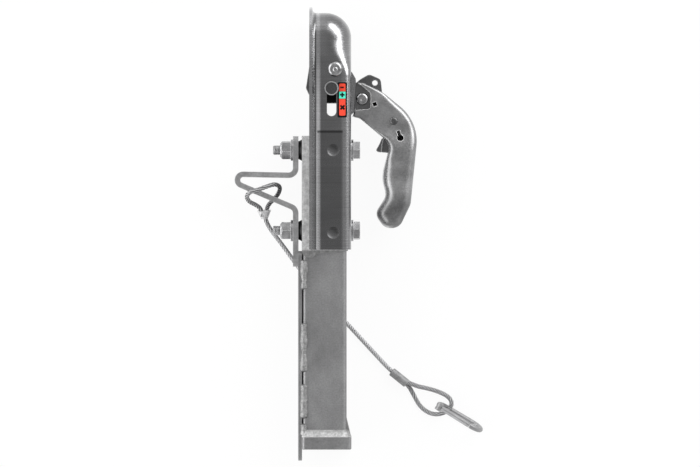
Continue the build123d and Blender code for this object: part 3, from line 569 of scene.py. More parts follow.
def button_material():
    """The dull button with its paler turned rim, by the distance from the pin's axis."""
    material = moulded("button plastic", (0.03, 0.03, 0.031), (0.25, 0.4))
    x, y, z = place_in_mm(material.node_tree)
    away = distance(x, y, PIN_PLACE)
    return toned(material, (away > 6.5) * (away < 7.7) * (z > 34.8), (0.26, 0.26, 0.265), "MIX")


def head_oil_and_painted_light(material):
    """The pressed head: its oil coat, a darker recessed panel and a paler flange, and painted light and
    shade: a painted shadow under the panel's top edge, painted highlights along both bends and on the nose, a
    painted shade line beside the left bend and painted shade in the flange's fold by the nose, and painted
    light and shade in the two dimples.
    """
    x, y = place_in_mm(material.node_tree)[:2]
    in_panel = abs(x - 5.05).spread(14.8, 13.6)
    panel_shadow_line = abs(y + 104.6).spread(0.7, 2.0, 1.0, 0.0)
    # Darker over the recessed panel
    toned(material, y.spread(-102.6, -104.2) * in_panel, even(0.74))
    # Painted shadow: a dark line under the panel's top edge
    toned(material, panel_shadow_line * in_panel, even(0.3))
    toned(material, x.spread(-13.6, -14.6), even(1.95))
    # Painted highlight along the left bend, stronger towards the rear, with a painted shade line beside it
    left = x.band((-11.0, -9.4), (-7.6, -4.6)) * y.spread(-15.0, -75.0, 1.0, 3.5)
    left_shade_line = x.band((-12.6, -12.0), (-11.4, -10.8)) * 0.4
    # Painted highlights along the right bend and on the nose's upper left, and painted shade in the flange's
    # fold by the nose
    right = x.eased(16.5, 19.8) * y.spread(-45.0, -80.0, 0.35, 0.6)
    nose = y.eased(-30.0, -6.0) * x.eased(8.0, -4.0) * 0.4
    crease = x.band((-15.0, -14.0), (-11.2, -10.2)) * y.band((-62.0, -34.0), (16.0, 22.0)) * 0.55
    gain = left - left_shade_line + right + nose - crease + 1.0
    # Painted light on the lower left of each dimple and painted shade on its upper right
    for dimple_y in DIMPLE_Y:
        inside = distance(x, y, (DIMPLE_X, dimple_y)).eased(6.9, 6.4)
        slope = (x - DIMPLE_X) * (-0.55 / DIMPLE_RADIUS) + (y - dimple_y) * (-0.85 / DIMPLE_RADIUS)
        gain = gain + (inside * slope).at_least(-0.45)
    tree, socket, plain = base_colour(material)
    feed(tree, socket.node, Base_Color=scaled(tree, plain, gain), Coat_Weight=0.5, Coat_Roughness=0.24)
    return material


def finish_table(finish):
    """Each steel: its name and colour, its tones, gloss and bump, and what else sets it apart."""
    ferrule = {
        "tones": (0.8, 1.15, 1.3), "rough": (0.5, 0.64), "bump": (0.15, 0.3), "metallic": 0.75,
        "patch": even(90), "speckle": 600.0, "line_share": 0.0,
    }
    return {
        "head_steel": dict(
            name="pressed head zinc", colour=finish.head, tones=(0.82, 1.18, 1.2), rough=(0.22, 0.3),
            bump=(0.03, 0.2), patch=(9, 14, 9), lines=(20, 1100, 20), line_share=0.5, edge_radius=0.0014),
        "tube_steel": dict(
            name="tube zinc", colour=finish.tube, tones=(0.7, 1.28, 1.4), rough=(0.42, 0.56),
            bump=(0.1, 0.3), patch=(20, 12, 20), speckle=600.0, line_share=0.15),
        "handle_steel": dict(
            name="handle zinc", colour=finish.handle, tones=(0.62, 1.3, 4.0), rough=(0.32, 0.44),
            bump=(0.06, 0.3), patch=even(38), speckle=700.0, line_share=0.1, edge_radius=0.0016, scuffed=0.6),
        "rivet_steel": dict(
            name="rivet zinc", colour=(0.36, 0.36, 0.365), tones=(0.6, 1.2, 1.3), rough=(0.16, 0.26),
            bump=(0.1, 0.3), patch=even(160), line_share=0.0),
        "fastener_steel": dict(
            name="fastener zinc", colour=(0.33, 0.33, 0.335), tones=(0.7, 1.2, 2.4), rough=(0.14, 0.26),
            bump=(0.06, 0.2), patch=even(110), edge_radius=0.001, scuffed=0.7),
        "strap_steel": dict(
            name="strap zinc", colour=(0.42, 0.42, 0.425), tones=(0.78, 1.18, 1.5), rough=(0.36, 0.5),
            bump=(0.12, 0.3), patch=even(60), speckle=600.0, line_share=0.1),
        "liner_steel": dict(
            name="liner zinc", colour=even(0.72), tones=(0.62, 1.15, 1.2), rough=(0.42, 0.6),
            bump=(0.3, 0.4), patch=(220, 160, 220), line_share=0.0),
        "weld_metal": dict(
            name="weld metal", colour=even(0.34), tones=(0.7, 1.25, 1.2), rough=(0.5, 0.66),
            bump=(0.5, 0.5), patch=even(260), speckle=420.0, line_share=0.0),
        "dark_steel": dict(
            name="dark pressed steel", colour=(0.14, 0.14, 0.142), tones=(0.7, 1.2, 4.6), rough=(0.3, 0.44),
            bump=(0.1, 0.3), patch=even(40), line_share=0.2, scuffed=0.5),
        "spring_steel": dict(
            name="spring steel", colour=(0.33, 0.33, 0.34), tones=(0.8, 1.2, 1.4), rough=(0.25, 0.4)),
        # Near black, as painted shade: the drive arm and the wedge are seen only deep inside the handle and
        # the head
        "inner_steel": dict(
            name="steel inside the handle in painted shade", colour=even(0.01), tones=(0.7, 1.2, 2.0), rough=(0.4, 0.55)),
        "hook_steel": dict(
            name="snap hook zinc", colour=(0.35, 0.35, 0.354), tones=(0.82, 1.12, 1.2), rough=(0.34, 0.46),
            metallic=0.75, patch=even(60)),
        # One pressed ferrule in two copies: a darker one on the hook and a lighter one on the bracket, the
        # difference painted light
        "ferrule_metal": dict(name="pressed ferrule", colour=(0.33, 0.33, 0.333), **ferrule),
        "lit_ferrule": dict(name="pressed ferrule painted lit", colour=(0.66, 0.66, 0.665), **ferrule),
    }


MATERIALS = {}


def make_materials(finish):
    GROUPS["Edge wear and glint"] = edge_wear_and_glint_group()
    GROUPS["Zinc coat"] = zinc_group()
    for key, look in finish_table(finish).items():
        MATERIALS[key] = zinc_steel(**look)
    # Head: oil coat with painted light and shade, and painted rim light where it turns away from the eye
    painted_rim_light(head_oil_and_painted_light(MATERIALS["head_steel"]), 1.8)
    # Handle: painted shade on its lower end, and painted rim light on its edges that face away from the
    # handle
    painted_rim_light(shaded_beyond(MATERIALS["handle_steel"], -168.0, -196.0, 0.72), 2.6, 0.2, 0.55, True)
    # Painted shade on the tube from y -335 mm towards the head
    shaded_beyond(MATERIALS["tube_steel"], -375.0, -335.0, 0.84)
    # Painted shade on the liner below the head's rear edge
    shaded_beyond(MATERIALS["liner_steel"], -235.5, -238.5, 0.45)
    shaded_beyond(MATERIALS["weld_metal"], -436.0, -442.0, 1.6)
    # Painted shade on the yoke under the handle's diamond hole
    painted_shade_spot(MATERIALS["dark_steel"], DIAMOND_HOLE, 3.3)
    MATERIALS.update(
        black_spacer=moulded("black spacer", (0.02, 0.02, 0.021)), button_plastic=button_material(),
        label_film=label_material(finish), rope_wire=rope_wire(),
    )


# Mesh helpers


def placed(name, data):
    """A new object in the scene."""
    thing = bpy.data.objects.new(name, data)
    bpy.context.scene.collection.objects.link(thing)
    return thing


def link_mesh(name, mesh, material, angle=40.0):
    """A finished piece: its mesh in place, smooth apart from edges sharper than an angle."""
    thing = placed(name, mesh)
    mesh.materials.clear()
    mesh.materials.append(MATERIALS[material])
    for face in mesh.polygons:
        face.use_smooth = True
    if angle < 180.0:
        mesh.set_sharp_from_angle(angle=math.radians(angle))
    return thing


def from_bmesh(name, built, material, angle=40.0):
    bmesh.ops.recalc_face_normals(built, faces=built.faces)
    mesh = bpy.data.meshes.new(name)
    built.to_mesh(mesh)
    built.free()
    return link_mesh(name, mesh, material, angle)


def finish_piece(piece, body, replaced=()):
    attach(piece, body)
    if replaced:
        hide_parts(*replaced)
    return piece


def at(x, y):
    return Matrix.Translation((x * MM, y * MM, 0))


def spoke(centre, radius, degrees):
    """The flat place at a radius and an angle round a centre."""
    angle = math.radians(degrees)
    return centre[0] + radius * math.cos(angle), centre[1] + radius * math.sin(angle)


def ring(built, to_place, radii, height):
    """A ring of points round the Z axis at even angles, with a radius for each, in millimetres."""
    found = []
    for step, radius in enumerate(radii):
        angle = 2 * math.pi * step / len(radii)
        spot = Vector((radius * math.cos(angle) * MM, radius * math.sin(angle) * MM, height * MM))
        found.append(built.verts.new(to_place @ spot))
    return found


def skin(built, rings, steps):
    """Faces between rings of points, where a ring may also be a single point."""
    for lower, upper in zip(rings, rings[1:]):
        for step in range(steps):
            after = (step + 1) % steps
            below = [lower[step % len(lower)], lower[after % len(lower)]]
            above = [upper[after % len(upper)], upper[step % len(upper)]]
            corners = list(dict.fromkeys(below + above))
            if len(corners) > 2:
                built.faces.new(corners)


def lathe(built, profile, to_place, steps=64):
    """Adds a turned form: profile is (radius, height) pairs in millimetres."""
    rings = []
    for radius, height in profile:
        count = 1 if radius < 1e-6 else steps
        rings.append(ring(built, to_place, [radius] * count, height))
    skin(built, rings, steps)


def rounded(corners, step=6.0):
    """A closed flat outline with its corners rounded, as points."""
    places = [Vector(place) for place, radius in corners]
    found = []
    for before, (place, radius), after in zip(places[-1:] + places, corners, places[1:] + places[:1]):
        here = Vector(place)
        if radius == 0:
            found.append(here)
            continue
        back, ahead = (before - here).normalized(), (after - here).normalized()
        half = math.acos(max(-1.0, min(1.0, back.dot(ahead)))) / 2
        cut = radius / math.tan(half)
        middle = here + (back + ahead).normalized() * (radius / math.sin(half))
        start, end = here + back * cut - middle, here + ahead * cut - middle
        turn = start.angle_signed(end)
        count = max(3, math.ceil(abs(math.degrees(turn)) / step))
        for number in range(count + 1):
            cosine, sine = math.cos(-turn * number / count), math.sin(-turn * number / count)
            spot = (start.x * cosine - start.y * sine, start.x * sine + start.y * cosine)
            found.append(middle + Vector(spot))
    return found


def refined(points, step):
    """The same closed outline with extra points on its long straights."""
    found = []
    for here, after in zip(points, points[1:] + points[:1]):
        count = max(1, round((after - here).length / step))
        found += [here.lerp(after, number / count) for number in range(count)]
    return found


def within(point, points):
    """Whether a flat point lies inside a closed outline."""
    inside = False
    for here, after in zip(points, points[1:] + points[:1]):
        if (here.y > point.y) != (after.y > point.y):
            if point.x < here.x + (point.y - here.y) / (after.y - here.y) * (after.x - here.x):
                inside = not inside
    return inside


def nearest_on(point, points):
    """Distance from a flat point to a closed outline."""
    best = 1e9
    for here, after in zip(points, points[1:] + points[:1]):
        run = after - here
        share = max(0.0, min(1.0, (point - here).dot(run) / run.length_squared))
        best = min(best, (here + run * share - point).length_squared)
    return math.sqrt(best)


def eased(value, start, end):
    share = max(0.0, min(1.0, (value - start) / (end - start)))
    return share * share * (3 - 2 * share)


# Geometry node trees


def geometry_tree(name, inputs):
    """A geometry tree with its inputs, of which the last is the material."""
    inputs = [("Geometry", "Geometry", None), *inputs, ("Material", "Material", None)]
    tree, inside, out = node_group(name, "GeometryNodeTree", inputs, [("Geometry", "Geometry")])
    return tree, inside.outputs, out


def close_tree(tree, geometry, material, out):
    """Realize the instances and set the material, as the last steps of a tree."""
    real = add(tree, "GeometryNodeRealizeInstances", None, i0=geometry)
    coated = add(tree, "GeometryNodeSetMaterial", None, i0=real.outputs[0], Material=material)
    tree.links.new(coated.outputs[0], out.inputs[0])
    return tree


def coil_tree():
    """A round wire wound along its axis, placed at each point of the mesh that it is given."""
    tree, given, out = geometry_tree(
        "Wound coil",
        [
            ("Turns", "Float", 7.0), ("Coil radius", "Float", 0.005), ("Wire radius", "Float", 0.0006),
            ("Length", "Float", 0.03), ("Wire sides", "Int", 10), ("Direction", "Vector", (0, 0, 1)),
        ],
    )
    spiral = add(
        tree, "GeometryNodeCurveSpiral", None, Resolution=40, Rotations=given["Turns"],
        Start_Radius=given["Coil radius"], End_Radius=given["Coil radius"], Height=given["Length"],
    ).outputs[0]
    section = add(
        tree, "GeometryNodeCurvePrimitiveCircle", None, Resolution=given["Wire sides"],
        Radius=given["Wire radius"],
    ).outputs[0]
    wire = add(tree, "GeometryNodeCurveToMesh", None, Curve=spiral, Profile_Curve=section, Fill_Caps=True)
    aimed = add(tree, "FunctionNodeAlignRotationToVector", {"axis": "Z"}, Vector=given["Direction"])
    points = add(tree, "GeometryNodeMeshToPoints", None, Mesh=given[0])
    coils = add(
        tree, "GeometryNodeInstanceOnPoints", None, Points=points.outputs[0], Instance=wire.outputs[0],
        Rotation=aimed.outputs[0],
    )
    return close_tree(tree, coils.outputs[0], given["Material"], out)


def bead_tree():
    """A weld bead: uneven drops along an edge of the given mesh, melted into one skin."""
    tree, given, out = geometry_tree(
        "Weld bead",
        [
            ("Ripple", "Float", 0.002), ("Radius", "Float", 0.004), ("Flatness", "Vector", (1.0, 0.6, 1.0)),
            ("Unevenness", "Float", 0.0004), ("Seed", "Int", 7), ("Voxel", "Float", 0.0005),
        ],
    )
    line = add(tree, "GeometryNodeMeshToCurve", None, Mesh=given[0]).outputs[0]
    points = add(tree, "GeometryNodeCurveToPoints", {"mode": "LENGTH"}, Curve=line, Length=given["Ripple"])
    low, high = (scaled(tree, even(side), given["Unevenness"]) for side in (-1, 1))
    offsets = {"data_type": "FLOAT_VECTOR"}
    jitter = add(tree, "FunctionNodeRandomValue", offsets, i0=low, i1=high, Seed=given["Seed"]).outputs[0]
    moved = add(tree, "GeometryNodeSetPosition", None, Geometry=points.outputs[0], Offset=jitter)
    drop = add(tree, "GeometryNodeMeshIcoSphere", None, Radius=given["Radius"], Subdivisions=3)
    swell = noise(tree, add(tree, "GeometryNodeInputPosition").outputs[0], 1.0, scale=75.0)
    size = scaled(tree, given["Flatness"], swell.spread(0.3, 0.7, 0.78, 1.18))
    drops = add(
        tree, "GeometryNodeInstanceOnPoints", None, Points=moved.outputs[0], Instance=drop.outputs[0],
        Scale=size,
    )
    solid = add(tree, "GeometryNodeRealizeInstances", None, i0=drops.outputs[0]).outputs[0]
    fine = {"resolution_mode": "VOXEL_SIZE"}
    volume = add(tree, "GeometryNodeMeshToVolume", fine, Mesh=solid, Voxel_Size=given["Voxel"]).outputs[0]
    melted = add(
        tree, "GeometryNodeVolumeToMesh", fine, Volume=volume, Voxel_Size=given["Voxel"], Threshold=0.1,
    )
    return close_tree(tree, melted.outputs[0], given["Material"], out)


TREES = {}


def grown(name, tree_name, points, edges, values, material, angle):
    """Runs a geometry tree on a few points or edges, and makes a piece of the plain mesh that comes out."""
    mesh = bpy.data.meshes.new(name + "_guide")
    mesh.from_pydata([Vector(point) * MM for point in points], edges, [])
    guide = placed(name + "_guide", mesh)
    modifier = guide.modifiers.new("grown", "NODES")
    modifier.node_group = TREES[tree_name]
    values = dict(values, Material=MATERIALS[material])
    for item in TREES[tree_name].interface.items_tree:
        if item.item_type == "SOCKET" and item.in_out == "INPUT" and item.name in values:
            modifier[item.identifier] = values[item.name]
    bpy.context.view_layer.update()
    evaluated = guide.evaluated_get(bpy.context.evaluated_depsgraph_get())
    made = bpy.data.meshes.new_from_object(evaluated)
    guide.modifiers.clear()
    bpy.data.objects.remove(guide)
    return link_mesh(name, made, material, angle)


def wound(
    name, places, direction, turns, radius, wire, length, sides=10, material="spring_steel", angle=180.0,
):
    """A coil from each place, with its sizes in millimetres."""
    values = {
        "Turns": turns, "Coil radius": radius * MM, "Wire radius": wire * MM, "Length": length * MM,
        "Direction": direction, "Wire sides": sides,
    }
    return grown(name, "Wound coil", places, [], values, material, angle)


# Stage


def make_floor():
    """A pale floor under the part, which the camera sees as white."""
    low, reach = cad_box[0][2], 6.0
    mesh = bpy.data.meshes.new("floor")
    corners = [(-reach, -reach, low), (reach, -reach, low), (reach, reach, low), (-reach, reach, low)]
    mesh.from_pydata(corners, [], [(0, 1, 2, 3)])
    floor = placed("floor", mesh)
    material = bpy.data.materials.new("pale floor")
    tree = cleared(material)
    paper = add(tree, "ShaderNodeBsdfDiffuse", None, Color=(0.86, 0.86, 0.86, 1)).outputs[0]
    glow = add(tree, "ShaderNodeEmission", None, Color=(1, 1, 1, 1), Strength=1.0).outputs[0]
    rays = add(tree, "ShaderNodeLightPath").outputs
    mirrored_share, white_share = 0.9, 0.93
    mirrored = NodeNumber(tree, rays["Is Glossy Ray"]) * mirrored_share
    share = (NodeNumber(tree, rays["Is Camera Ray"]) + mirrored).at_most(1.0) * white_share
    both = add(tree, "ShaderNodeMixShader", None, i0=share, i1=paper, i2=glow)
    add(tree, "ShaderNodeOutputMaterial", None, Surface=both.outputs[0])
    mesh.materials.append(material)


def make_surround(stage):
    """White for the camera, and for the metal a dim sky with brighter bands low down on each side."""
    world = bpy.data.worlds.new("even surround")
    bpy.context.scene.world = world
    tree = cleared(world)
    east, north, up = split(tree, add(tree, "ShaderNodeTexCoord").outputs["Generated"])
    sky = add(tree, "ShaderNodeValToRGB", None, i0=up)
    spots = sky.color_ramp.elements
    for position, level in ((0.0, 0.75), (0.45, 0.62), (0.75, 0.85), (1.0, 1.0)):
        spot = spots[0] if position == 0.0 else spots.new(position)
        spot.position, spot.color = position, (level, level, level, 1)
    spots.remove(spots[-1])
    low_down = up.eased(0.95, 0.35)
    front_rim = low_down * north.eased(0.2, 0.8) * stage.front_rim
    rear_rim = low_down * north.eased(-0.2, -0.8) * stage.rear_rim
    right_rim = up.band((-0.1, 0.2), (0.5, 0.78)) * east.eased(0.4, 0.9) * stage.right_rim
    far_rim = up.band((-0.1, 0.42), (0.6, 0.8)) * east.eased(-0.4, -0.75) * stage.far_rim
    bearing = (east * 0.73 + north * 0.68) / (1.001 - up * up).root()
    corner = up.band((0.25, 0.5), (0.64, 0.84)) * bearing.eased(0.8, 0.95) * stage.corner
    above = NodeNumber(tree, sky.outputs[0]) * stage.zenith
    level = above + front_rim + rear_rim + right_rim + far_rim + corner
    around = add(tree, "ShaderNodeBackground", None, i0=(1, 1, 1, 1), Strength=level).outputs[0]
    white = add(tree, "ShaderNodeBackground", None, i0=(1, 1, 1, 1), Strength=1.0).outputs[0]
    camera_ray = add(tree, "ShaderNodeLightPath").outputs["Is Camera Ray"]
    both = add(tree, "ShaderNodeMixShader", None, i0=camera_ray, i1=around, i2=white)
    add(tree, "ShaderNodeOutputWorld", None, Surface=both.outputs[0])


def soft_light(name, place, aim_at, power, size, mirrored):
    data = bpy.data.lights.new(name, "AREA")
    data.shape, data.size, data.size_y, data.energy = "RECTANGLE", size[0], size[1], power
    lamp = placed(name, data)
    lamp.location = place
    lamp.visible_glossy = mirrored
    lamp.visible_camera = False
    lamp.rotation_euler = (Vector(aim_at) - Vector(place)).to_track_quat("-Z", "Y").to_euler()


def make_stage(stage):
    """The floor, the surround, a soft light, two box lights and the camera straight above."""
    make_floor()
    make_surround(stage)
    soft_light("soft key light", (0.9, 0.5, 1.5), (0.02, -0.2, 0.0), stage.key, (1.2, 1.2), False)
    soft_light("box light at the nose", BOX_LIGHT_PLACE, (0.0, 0.0, 0.0), stage.rim, BOX_LIGHT_SIZE, True)
    soft_light("weak box light", BOX_LIGHT_PLACE, (0.0, 0.0, 0.0), stage.weak_rim, BOX_LIGHT_SIZE, True)
    data = bpy.data.cameras.new("camera")
    camera = placed("camera", data)
    data.lens = data.sensor_width * stage.distance / stage.picture_width
    data.clip_end = 20.0
    camera.location = (CAMERA_X, CAMERA_Y, stage.distance)
    bpy.context.scene.camera = camera
    bpy.context.scene.view_settings.view_transform = "Standard"


def share_lights():
    """The strong box light reaches the head alone, and its weak twin the handle, the rivets and the yoke."""
    shares = {
        "box light at the nose": ("head_steel",),
        "weak box light": ("handle_steel", "rivet_steel", "dark_steel"),
    }
    for name, finishes in shares.items():
        reached = bpy.data.collections.new(name + " reaches")
        lit = [MATERIALS[finish] for finish in finishes]
        for thing in bpy.context.scene.objects:
            if thing.type == "MESH" and thing.data.materials and thing.data.materials[0] in lit:
                reached.objects.link(thing)
        bpy.data.objects[name].light_linking.receiver_collection = reached


# Cable


def route_points():
    """The cable's own line: its smooth curve, and points read from it."""
    data = bpy.data.curves.new("cable_route", "CURVE")
    data.dimensions = "3D"
    data.resolution_u = 24
    spline = data.splines.new("NURBS")
    spline.points.add(len(CABLE_ROUTE) - 1)
    for point, place in zip(spline.points, CABLE_ROUTE):
        point.co = (*(Vector(place) * MM), 1.0)
    spline.order_u = 3
    spline.use_endpoint_u = True
    thing = placed("cable_route", data)
    bpy.context.view_layer.update()
    mesh = bpy.data.meshes.new_from_object(thing)
    found = [vertex.co.copy() for vertex in mesh.vertices]
    bpy.data.objects.remove(thing)
    return found


def evenly(points, step):
    """The same line with points at even distances, and its length."""
    lengths = [0.0]
    for before, after in zip(points, points[1:]):
        lengths.append(lengths[-1] + (after - before).length)
    count = max(2, round(lengths[-1] / step))
    found, index = [], 0
    for number in range(count + 1):
        wanted = lengths[-1] * number / count
        while index < len(points) - 2 and lengths[index + 1] < wanted:
            index += 1
        span = lengths[index + 1] - lengths[index]
        share = 0 if span == 0 else (wanted - lengths[index]) / span
        found.append(points[index].lerp(points[index + 1], min(1.0, share)))
    return found, lengths[-1]


def moving_frames(points):
    """Each point with two sides square to the line, which turn as little as they can."""
    frames = []
    side = None
    for index, point in enumerate(points):
        ahead = points[min(index + 1, len(points) - 1)] - points[max(index - 1, 0)]
        ahead.normalize()
        if side is None:
            side = ahead.orthogonal().normalized()
        side = (side - ahead * side.dot(ahead)).normalized()
        frames.append((point, side, ahead.cross(side)))
    return frames


def strand_tube(built, layer, groove, centres, line, reach, radius, sides, turns_per_wire):
    """One strand: a round tube along its centres, with a UV along it and how far out each point lies."""
    rings = []
    for (point, side, other), middle in zip(moving_frames(centres), line):
        row = []
        for number in range(sides):
            angle = 2 * math.pi * number / sides
            vertex = built.verts.new(point + (side * math.cos(angle) + other * math.sin(angle)) * radius)
            vertex[groove] = max(0.0, min(1.0, ((vertex.co - middle).length - reach) / radius))
            row.append(vertex)
        rings.append(row)
    for row, (before, after) in enumerate(zip(rings, rings[1:])):
        for number in range(sides):
            follow = (number + 1) % sides
            face = built.faces.new((before[number], before[follow], after[follow], after[number]))
            marks = ((number, row), (number + 1, row), (number + 1, row + 1), (number, row + 1))
            for loop, (across, along) in zip(face.loops, marks):
                loop[layer].uv = (across / sides * turns_per_wire, along * 0.09)
    built.faces.new(rings[0][::-1])
    built.faces.new(rings[-1])


def make_cable(cable):
    """The steel rope: strands laid round its line, with an eye at each end."""
    line, length = evenly(route_points(), ROPE_STEP)
    outer = cable.diameter / 2
    share = math.sin(math.pi / cable.strands)
    strand = outer * share / (1 + share) * ROPE_SQUEEZE
    reach = outer - strand
    built = bmesh.new()
    layer = built.loops.layers.uv.new("UVMap")
    groove = built.verts.layers.float.new("outer")
    frames = moving_frames(line)
    step = length / (len(line) - 1)
    for number in range(cable.strands):
        centres = []
        for index, (point, side, other) in enumerate(frames):
            angle = 2 * math.pi * (number / cable.strands + index * step / cable.lay)
            centres.append(point + (side * math.cos(angle) + other * math.sin(angle)) * reach)
        strand_tube(built, layer, groove, centres, line, reach, strand, 12, 3.0)
    strand_tube(built, layer, groove, line, line, reach, strand, 6, 5.0)
    piece = from_bmesh("safety_rope", built, "rope_wire", angle=180.0)
    finish_piece(piece, "coupler", ["safety_cable"])


# Springs, rivets and button


def make_springs(spring):
    """The main spring between the wedge and its seat, and the trigger's small coil."""
    seat_y, front_y, radius = SPRING_SEAT_Y, SPRING_FRONT_Y, 5.7
    wire = spring.wire / MM / 2
    start, length = (SPRING_X, seat_y + wire, 0), front_y - seat_y - 2 * wire
    coil = wound("main_coil", [start], (0.0, 1.0, 0.0), spring.turns, radius - wire, wire, length)
    finish_piece(coil, "coupler", ["main_spring"])
    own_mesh(coil)
    coil = wound("trigger_coil", [(*TRIGGER_PIVOT, 6.75)], (0.0, 0.0, 1.0), 1.0, 3.9, 0.55, 0.2)
    finish_piece(coil, "handle", ["trigger_spring"])


def rivet_profile(shaft, head, height, seat, mark):
    """A rivet's outline from its lower to its upper head: domed, with a mark in the middle of each head."""
    dome = [(0.97, 0.38), (0.86, 0.68), (0.66, 0.88), (0.42, 0.97), *mark, (0.0, mark[-1][1])]
    upper = [(head, seat), (head, seat + 0.5)]
    upper += [(head * share, seat + height * level) for share, level in dome]
    lower = [(radius, -level) for radius, level in reversed(upper)]
    return lower + [(shaft, -seat), (shaft, seat)] + upper


def make_rivets():
    """The riveted pins of the jaw, the handle and the trigger."""
    pip = [(0.34, 0.93), (0.27, 0.86), (0.2, 0.98), (0.1, 1.0)]
    dent = [(0.34, 0.95), (0.24, 0.84), (0.12, 0.8)]
    plain = [(0.3, 0.98), (0.2, 0.94), (0.1, 0.93)]
    plans = [
        ("jaw", JAW_RIVET, (5.0, 8.5, 4.6, 31.1, pip), "coupler", "rivet_steel"),
        ("handle", HANDLE_PIVOT, (4.5, 7.0, 3.8, 7.3, dent), "coupler", "rivet_steel"),
        ("trigger", TRIGGER_PIVOT, (2.5, 4.5, 2.4, 10.1, plain), "handle", "dark_steel"),
    ]
    for held, place, sizes, body, coat in plans:
        built = bmesh.new()
        lathe(built, rivet_profile(*sizes), at(*place), 72)
        piece = from_bmesh(held + "_rivet", built, coat, angle=50.0)
        finish_piece(piece, body, [held + "_pivot_rivet"])


def make_button():
    """The round button with a raised rim on the cross pin."""
    profile = [(0, 31.7), (7.4, 31.7), (8.0, 32.1), (8.15, 33.0), (8.15, 34.6)]
    profile += [spoke((7.5, 35.6), 0.65, 150 * step / 8) for step in range(9)]
    profile += [(6.75, 35.2), (6.6, 34.9), (5.9, 34.9), (0, 34.9)]
    built = bmesh.new()
    lathe(built, profile, at(*PIN_PLACE), 72)
    piece = from_bmesh("wear_button", built, "button_plastic", angle=60.0)
    finish_piece(piece, "lock", ["indicator_button"])


# Handle


def finger_share(place):
    """1 on the fingers' side of the handle, 0 on its back, and a soft change round its lower end."""
    if place.y < HANDLE_MIDDLE[-1][1]:
        return 1.0 - eased(place.x, 65.0, 80.0)
    for (ax, ay), (bx, by) in zip(HANDLE_MIDDLE, HANDLE_MIDDLE[1:]):
        if by <= place.y <= ay:
            return float(place.x < ax + (bx - ax) * (place.y - ay) / (by - ay))
    return float(place.x < HANDLE_MIDDLE[0][0])


def handle_height(place, gap):
    """The skin's height over the middle plane, from its distance to the handle's outline."""
    opened = eased(place.y, -97.0, -128.0)
    half = HANDLE_HALF + HANDLE_WIDENING * opened
    finger_edge = min(HANDLE_EDGE + 5.0 * opened + 5.2 * eased(place.y, -131.0, -150.0), half - 2.0)
    back_edge = HANDLE_EDGE + 4.2 * eased(place.y, -54.0, -78.0) + 3.6 * eased(place.y, -100.0, -150.0)
    edge = back_edge + (finger_edge - back_edge) * finger_share(place)
    if gap >= edge:
        return half
    return half - edge + math.sqrt(max(0.0, edge * edge - (edge - gap) ** 2))


def keyhole_outline():
    """The handle's keyhole: a round hole and the slit that leaves it at a slant."""
    slant, half_mouth, steps = 17, 28, 28
    start, reach = 90 + slant + half_mouth, 360 - 2 * half_mouth
    hole = [Vector(spoke(KEYHOLE, KEYHOLE_RADIUS, start + reach * step / steps)) for step in range(steps + 1)]
    across, ahead = (Vector(spoke((0, 0), 1.0, degrees)) for degrees in (slant, 90 + slant))
    end = Vector((82.4, -107.2)) + ahead * 4.2
    return hole + [end + across * KEYHOLE_SLIT, end - across * KEYHOLE_SLIT]


def inner_points(border):
    """Points inside the handle's outline: rows that follow it, and an even grid in the middle."""
    found = []
    for gap in HANDLE_ROWS:
        for before, here, after in zip(border[-1:] + border, border, border[1:] + border[:1]):
            along = (after - before).normalized()
            spot = here + Vector((along.y, -along.x)) * gap
            if within(spot, border) and nearest_on(spot, border) > gap * 0.97:
                found.append(spot)
    low_x, high_x = min(place.x for place in border), max(place.x for place in border)
    for y in range(-211, -49, 2):
        for column in range(math.ceil((high_x - low_x) / HANDLE_GRID)):
            spot = Vector((low_x + HANDLE_GRID * column, y))
            if within(spot, border) and nearest_on(spot, border) > HANDLE_GRID_START:
                found.append(spot)
    return found


def handle_skin():
    """The handle's outer skin: both sides, and the wall between them where it isn't cut open."""
    border = refined(rounded(HANDLE_CORNERS, 5.0), 1.4)
    notch, lug_slot, underside = map(rounded, (HANDLE_NOTCH, HANDLE_LUG_SLOT, HANDLE_UNDERSIDE))
    points = [spoke((0, 0), DIAMOND_REACH, 65 + 90 * corner) for corner in range(4)]
    diamond = [Vector(DIAMOND_HOLE) + Vector(point) for point in points]
    keyhole = keyhole_outline()
    spots, edges = [], []
    for loop in (border, notch, diamond, keyhole):
        first, count = len(spots), len(loop)
        spots += loop
        edges += [(first + number, first + (number + 1) % count) for number in range(count)]
    flat, _, faces = geometry.delaunay_2d_cdt(spots + inner_points(border), edges, [], 0, 1e-4)[:3]
    kept = []
    for face in faces:
        centre = sum((flat[number] for number in face), Vector((0, 0))) / 3
        if within(centre, border) and not within(centre, notch) and not within(centre, diamond):
            kept.append((face, within(centre, keyhole)))
    built = bmesh.new()
    near, far = {}, {}
    for number in sorted({number for face, hole in kept for number in face}):
        place = flat[number]
        height = handle_height(place, nearest_on(place, border))
        near[number] = built.verts.new((place.x * MM, place.y * MM, height * MM))
        far[number] = built.verts.new((place.x * MM, place.y * MM, -height * MM))
    shared = {}
    for face, hole in kept:
        corners = list(face)
        if (flat[corners[1]] - flat[corners[0]]).cross(flat[corners[2]] - flat[corners[0]]) < 0:
            corners.reverse()
        if not hole:
            built.faces.new([near[number] for number in corners])
        built.faces.new([far[number] for number in reversed(corners)])
        for here, after in zip(corners, corners[1:] + corners[:1]):
            shared.setdefault((min(here, after), max(here, after)), []).append((here, after))
    for pairs in shared.values():
        here, after = pairs[0]
        middle = (flat[here] + flat[after]) / 2
        opened = within(middle, lug_slot) or within(middle, underside)
        if len(pairs) == 1 and nearest_on(middle, border) <= 0.05 and not opened:
            built.faces.new([near[after], near[here], far[here], far[after]])
    mesh = bpy.data.meshes.new("handle_sheet")
    built.to_mesh(mesh)
    built.free()
    return mesh


